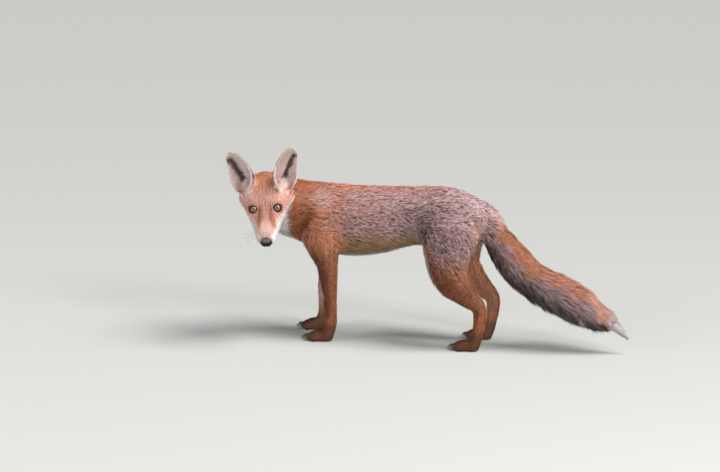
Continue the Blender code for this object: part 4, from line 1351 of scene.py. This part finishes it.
# The marked upper side is painted lilac grey: a painted reflection of the sky.
colour_with(tree, shader, mixed(tree, attribute(tree, "painted_sky_reflection"), leather, (0.150, 0.115, 0.150, 1)))
rough = colour_ramp(tree, worn, [(0.3, (0.38, 0.38, 0.38)), (0.7, (0.55, 0.55, 0.55))])
tree.links.new(rough, shader.inputs["Roughness"])
raise_bumps(tree, shader, cells(tree, 1050.0, "SMOOTH_F1"), 0.55, 0.0004).invert = True
nose_leather.data.materials.append(nose_finish)
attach(nose_leather, "root")
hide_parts("nose")
print("nose finish", len(tree.nodes), "nodes")

# %% [markdown]
# ## Claws and pads
# A fox's claws are blunt, curved and always out, and under each toe is a leathery pad that carries the
# weight. Both repeat on every paw, so one function each shapes them, the paw's own box places them, and the
# copies are joined.


# %% Shape the claws and pads
def claw_rings(toe, share):
    turns = full_turn(20)
    rings = []
    for t in np.linspace(0, 1, 9):
        spot = toe + (-0.0078 - 0.0125 * t, 0.15 * share * t * 0.012, 0.0032 + 0.0010 * t - 0.0062 * t * t)
        thick = 0.0019 * (1 - t ** 1.7) + 0.00015
        ring = np.stack([np.zeros(20), 0.72 * np.cos(turns), np.sin(turns)], 1) * thick
        rings.append(spot + ring + np.outer(np.sin(turns) * thick, (-0.35 * t, 0, 0)))
    return rings


def pad_rings(place, radii, steps, notch=0.0):
    """A flattened ball. A notch draws its sides back, as on the heel pad."""
    turns = full_turn(20)
    rings = []
    for a in np.linspace(0, math.pi, steps):
        ring = np.stack([math.sin(a) * np.cos(turns) * radii[0], math.sin(a) * np.sin(turns) * radii[1],
                         np.full(20, math.cos(a) * radii[2])], 1)
        ring[:, 0] += notch * np.abs(ring[:, 1])
        rings.append(np.array(place) + ring)
    return rings


print("a claw has", len(claw_rings(np.zeros(3), 0.0)), "rings")


# %% Join grids into one piece
def joined_grids(name, grids, finish):
    whole = bmesh.new()
    for rows in grids:
        part = grid_object(name + "_part", rows, (True, True))
        mesh = part.data
        whole.from_mesh(mesh)
        bpy.data.objects.remove(part)
        bpy.data.meshes.remove(mesh)
    mesh = bpy.data.meshes.new(name)
    whole.to_mesh(mesh)
    whole.free()
    mesh.materials.append(finish)
    return add_object(name, mesh)


print("grids can be joined")

# %% Place the claws and pads on the paws
TOES = (  # across, as a share of the paw's width, and back from the front of its box
    (-0.36, 0.0257), (-0.13, 0.0187), (0.13, 0.0187), (0.36, 0.0257))
PAW_WIDTHS = {"forepaw_": 0.038, "hindpaw_": 0.034}
TOE_HEIGHT, HEEL_BACK = 0.0085, 0.0415
TOE_PAD, HEEL_PAD = (0.0070, 0.0042, 0.0034), (0.0095, 0.0105, 0.0042)
claw_rows, pad_rows = [], []
for paw, width in PAW_WIDTHS.items():
    for side in ("left", "right"):
        front, centre_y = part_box(paw + side)[0].x, middle(paw + side).y
        for share, back in TOES:
            toe = np.array((front + back, centre_y + share * width, TOE_HEIGHT))
            claw_rows.append(claw_rings(toe, share))
            pad_rows.append(pad_rings((toe[0] + 0.001, toe[1], TOE_PAD[2]), TOE_PAD, 11))
        pad_rows.append(pad_rings((front + HEEL_BACK, centre_y, HEEL_PAD[2]), HEEL_PAD, 13, 0.10))
print("claws", len(claw_rows), "pads", len(pad_rows))

# %% Paint and set the claws and pads
claw_finish, tree, shader = fresh_material("claw_finish", 0.35)
colour_with(tree, shader, colour_ramp(tree, noise(tree, 700.0),
                                      [(0.3, (0.035, 0.022, 0.016)), (0.7, (0.11, 0.075, 0.055))]))
pad_finish, tree, shader = fresh_material("pad_finish", 0.65)
grain = cells(tree, 900.0)
colour_with(tree, shader, colour_ramp(tree, grain,
                                      [(0.1, (0.045, 0.032, 0.030)), (0.6, (0.018, 0.013, 0.013))]))
raise_bumps(tree, shader, grain, 0.5, 0.0004)
claws = joined_grids("claws", claw_rows, claw_finish)
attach(claws, "root")
pads = joined_grids("pads", pad_rows, pad_finish)
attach(pads, "root")
print("claws and pads", len(claws.data.polygons) + len(pads.data.polygons), "faces")

# %% [markdown]
# ## How long, wide and close the hair is
# Hair length follows the coat's depth, so it changes smoothly from leg to body with no line between them. A
# lock's width follows its length, and short hair has to stand closer, so every size comes from one field.
# The number of locks in each piece is shared out by its area, which keeps the coat even where two pieces
# meet.

# %% Set out the hair's sizes
hair_length = np.clip(depth * 1.95, 0.0050, 0.020)
hair_length = np.where(face_part, np.clip(depth * 2.2, 0.0042, 0.022), hair_length)
hair_length = hair_length * (1 - 0.40 * (1 - ramp(eye_gap, EYE_RADIUS + 0.002, EYE_RADIUS + 0.010)))
hair_length = np.where(on("tail_"), np.clip(depth * 2.0, 0.018, 0.046), hair_length)
hair_length = spread(hair_length, 10)
hair_width = 0.00034 + 0.0230 * hair_length
tuft_size = 0.0010 + 0.09 * hair_length
closeness = 1 / (hair_width * hair_length) ** 0.72
print("hair", (hair_length.min() * 1000).round(1), "to", (hair_length.max() * 1000).round(1), "mm long")

# %% Share out the locks
BODY_LOCKS = 344000
trunk_middle, crown_start = middle("trunk").x, -0.042
covered = face_part & (in_cup < 0.4)
PIECES = {  # the points of each piece, and how close its hair stands
    "coat_face": (covered & (x > crown_start), 0.80), "coat_crown": (covered & (x <= crown_start), 1.3),
    "coat_neck": (on("neck"), 1.0), "coat_trunk_front": (on("trunk") & (px < trunk_middle), 1.0),
    "coat_trunk_back": (on("trunk") & (px >= trunk_middle), 1.0), "coat_rump": (on("hindquarters"), 1.0)}
for side in ("left", "right"):
    for leg, paw in (("foreleg", "forepaw"), ("hindleg", "hindpaw")):
        PIECES[f"coat_{leg}_{side}"] = (on(f"{leg}_{side}", f"{paw}_{side}") & (pz > 0.003), 0.45)
point_area = np.bincount(triangle_points.ravel(), np.repeat(triangle_area / 3, 3), COUNT)
wants = {name: (closeness * point_area)[chosen].sum() * share for name, (chosen, share) in PIECES.items()}
counts = {name: int(BODY_LOCKS * want / sum(wants.values())) for name, want in wants.items()}
print("locks", counts)

# %% [markdown]
# ## The coat
# The coat grows in pieces, one for each part a furrier would cut: face, crown, neck, trunk, rump and legs.
# They share every field, so no seam shows. Face hair lies closest and leans least into tufts.

# %% Grow the coat of the body
for number, (name, (chosen, share)) in enumerate(PIECES.items()):
    finer, stray, swing = (0.9, 0.11, 0.05) if name in ("coat_face", "coat_crown") else (1.0, 0.17, 0.18)
    piece = grow(name, chosen, counts[name], hair_length, hair_width * finer, tuft_size, 11 + number,
                 pull=0.20, stray=stray, wave=0.04, swing=swing, density=closeness)

# %% Grow the brush
for number, name in enumerate(("upper", "middle", "end")):
    piece = grow("coat_brush_" + name, on(brush[number]), 22000, hair_length, 0.00100, 0.0026, 31 + number,
                 steps=3, pull=0.30, stray=0.15, wave=0.03, swing=0.12, follow=1.0 if name == "end" else 0.6,
                 rise=0.95 - 0.45 * brush_end)
lie = np.where(on("tail_tip")[:, None], tip_axis, lie)
before_end = -from_tip_end @ tip_axis > 0.009
piece = grow("coat_brush_tip", on("tail_tip") & (depth < 0.0065) & before_end, 6000, 0.018, 0.0010, 0.0030,
             35, steps=3, pull=0.3, stray=0.05, rise=1.3, follow=0.2)

# %% [markdown]
# ## Hair of the ears
# The back of an ear wears dark plush. Inside, short pale hair lines the cup, and a longer fringe grows from
# the inner edge across the hollow, where it keeps grass seeds out. One kind of hair for both sides would be
# simpler, but the dark back and the pale lining are what make an ear read as a fox's.

# %% Grow the ear hair
towards_tip = 1 - 0.50 * ramp(ear_height, 0.72, 0.98)
piece = grow("coat_ear_backs", ear_part & (inside_ear < 0.62), 15000, 0.0055 * towards_tip, 0.0005, 0.0020,
             41, rise=1.5)
hollow_hair = inside_ear * (1 - 0.9 * shaded_slit)
# The lining and the fringe take the paler part of the hair's colour (fade), partly their own pale hair and
# partly painted light that shines through the ear.
piece = grow("coat_ear_lining", hollow_hair > 0.25, 10000, 0.0060 * towards_tip, 0.0004, 0.0020, 42, rise=1.2,
             pull=0.2, density=hollow_hair, fade=0.6)
fringe = hollow_hair * ramp(-ear_across + slit_middle, 0.10, 0.50) * (1 - ramp(ear_height, 0.55, 0.80))
piece = grow("coat_ear_fringe", fringe > 0.02, 5000, 0.015, 0.0004, 0.0040, 43, steps=3, rise=3.2, pull=0.40,
             stray=0.18, density=fringe, fade=0.6)
print("coat", sum(growing.values()), "triangles in", len(growing), "pieces")

# %% [markdown]
# ## Whiskers
# Whiskers are stiff, tapered bristles in rows on the muzzle, with a few over each eye. They all have one
# shape, so a Geometry Nodes tree makes one bristle and sets it on every root, turned along the direction
# that the root keeps. The tree's own inputs give the length, thickness and sag.

# %% Paint the whiskers
whisker_finish, tree, shader = fresh_material("whisker_finish", 0.35)
colour_with(tree, shader, colour_ramp(tree, noise(tree, 90.0),
                                      [(0.35, (0.010, 0.008, 0.008)), (0.7, (0.050, 0.038, 0.034))]))
print("whisker finish", len(tree.nodes), "nodes")


# %% Build the bristle tree
def bristle_tree(finish):
    tree = bpy.data.node_groups.new("bristles", "GeometryNodeTree")
    tree.interface.new_socket("Roots", in_out="INPUT", socket_type="NodeSocketGeometry")
    for name, value in (("Length", 0.05), ("Thickness", 0.0002), ("Sag", 0.01)):
        tree.interface.new_socket(name, in_out="INPUT", socket_type="NodeSocketFloat").default_value = value
    tree.interface.new_socket("Seed", in_out="INPUT", socket_type="NodeSocketInt").default_value = 1
    tree.interface.new_socket("Bristles", in_out="OUTPUT", socket_type="NodeSocketGeometry")
    given = tree.nodes.new("NodeGroupInput").outputs

    def step(kind, inputs, output=0, **settings):
        return add_node(tree, kind, inputs, **settings).outputs[output]

    rise, fall = maths(tree, "MULTIPLY", given["Sag"], 0.6), maths(tree, "MULTIPLY", given["Sag"], -1.0)
    bend = step("ShaderNodeCombineXYZ", {"X": maths(tree, "MULTIPLY", given["Length"], 0.5), "Z": rise})
    end = step("ShaderNodeCombineXYZ", {"X": given["Length"], "Z": fall})
    line = step("GeometryNodeCurveQuadraticBezier",
                {"Resolution": 8, "Start": (0, 0, 0), "Middle": bend, "End": end})
    left = maths(tree, "SUBTRACT", 1.02, step("GeometryNodeSplineParameter", {}, "Factor"))
    tapered = step("GeometryNodeSetCurveRadius", {"Curve": line, "Radius": left})
    ring = step("GeometryNodeCurvePrimitiveCircle", {"Resolution": 5, "Radius": given["Thickness"]})
    bristle = step("GeometryNodeCurveToMesh", {"Curve": tapered, "Profile Curve": ring, "Fill Caps": True})
    aim = step("GeometryNodeInputNamedAttribute", {"Name": "aim"}, "Attribute", data_type="FLOAT_VECTOR")
    turn = step("FunctionNodeAlignRotationToVector", {"Vector": aim}, axis="X")
    size = step("FunctionNodeRandomValue", {"Min": 0.62, "Max": 1.0, "Seed": given["Seed"]}, "Value",
                data_type="FLOAT")
    placed = step("GeometryNodeInstanceOnPoints",
                  {"Points": given["Roots"], "Instance": bristle, "Rotation": turn, "Scale": size})
    real = step("GeometryNodeRealizeInstances", {"Geometry": placed})
    painted = step("GeometryNodeSetMaterial", {"Geometry": real, "Material": finish})
    tree.links.new(painted, tree.nodes.new("NodeGroupOutput").inputs["Bristles"])
    return tree


bristles = bristle_tree(whisker_finish)
print("bristle tree", len(bristles.nodes), "nodes")

# %% Set the whiskers
WHISKER_ROWS, WHISKERS_IN_ROW, BROW_BRISTLES = 2, 4, 3
WHISKER_SIZES = {"Length": 0.030, "Thickness": 0.00010, "Sag": 0.006, "Seed": 5}
spots, aims = [], []
for hand in (-1, 1):
    for row in range(WHISKER_ROWS):
        for number in range(WHISKERS_IN_ROW):
            spots.append((0.062 - 0.0050 * number - 0.001 * row, hand * 0.030, -0.0205 - 0.0036 * row))
            aims.append((0.30 - 0.20 * number, hand * 1.0, 0.10 - 0.16 * row - 0.04 * number))
    for number in range(BROW_BRISTLES):
        spots.append((-0.002 - 0.004 * number, hand * (0.022 + 0.005 * number), 0.024))
        aims.append((0.25 - 0.10 * number, hand * 0.55, 0.75))
roots = inner[nearest(skin_tree, from_head(spots))]
seat_mesh = bpy.data.meshes.new("whiskers")
seat_mesh.from_pydata([tuple(r) for r in roots], [], [])
layer = seat_mesh.attributes.new("aim", "FLOAT_VECTOR", "POINT")
layer.data.foreach_set("vector", unit(turned_from_head(aims)).ravel().astype(np.float32))
whiskers = add_object("whiskers", seat_mesh)
growth = whiskers.modifiers.new("bristles", "NODES")
growth.node_group = bristles
sockets = {item.name: item.identifier for item in bristles.interface.items_tree}
for name, value in WHISKER_SIZES.items():
    growth[sockets[name]] = value
apply_modifiers(whiskers)
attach(whiskers, "root")
print("whiskers", len(roots), "with", len(whiskers.data.polygons), "faces")

# %% [markdown]
# ## Thin the skin and close
# The fine grid has done its work once the hair is rooted: what still shows of the skin is smooth. Thinning
# it keeps the model light, and the last lines measure the box that the finished model fills.

# %% Thin the skin and measure the finished model
thin = skin.modifiers.new("thin", "DECIMATE")
thin.ratio = 0.55
apply_modifiers(skin)
print("skin", len(skin.data.polygons), "faces")
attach(skin, "root")
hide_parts(*flesh)
low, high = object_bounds()
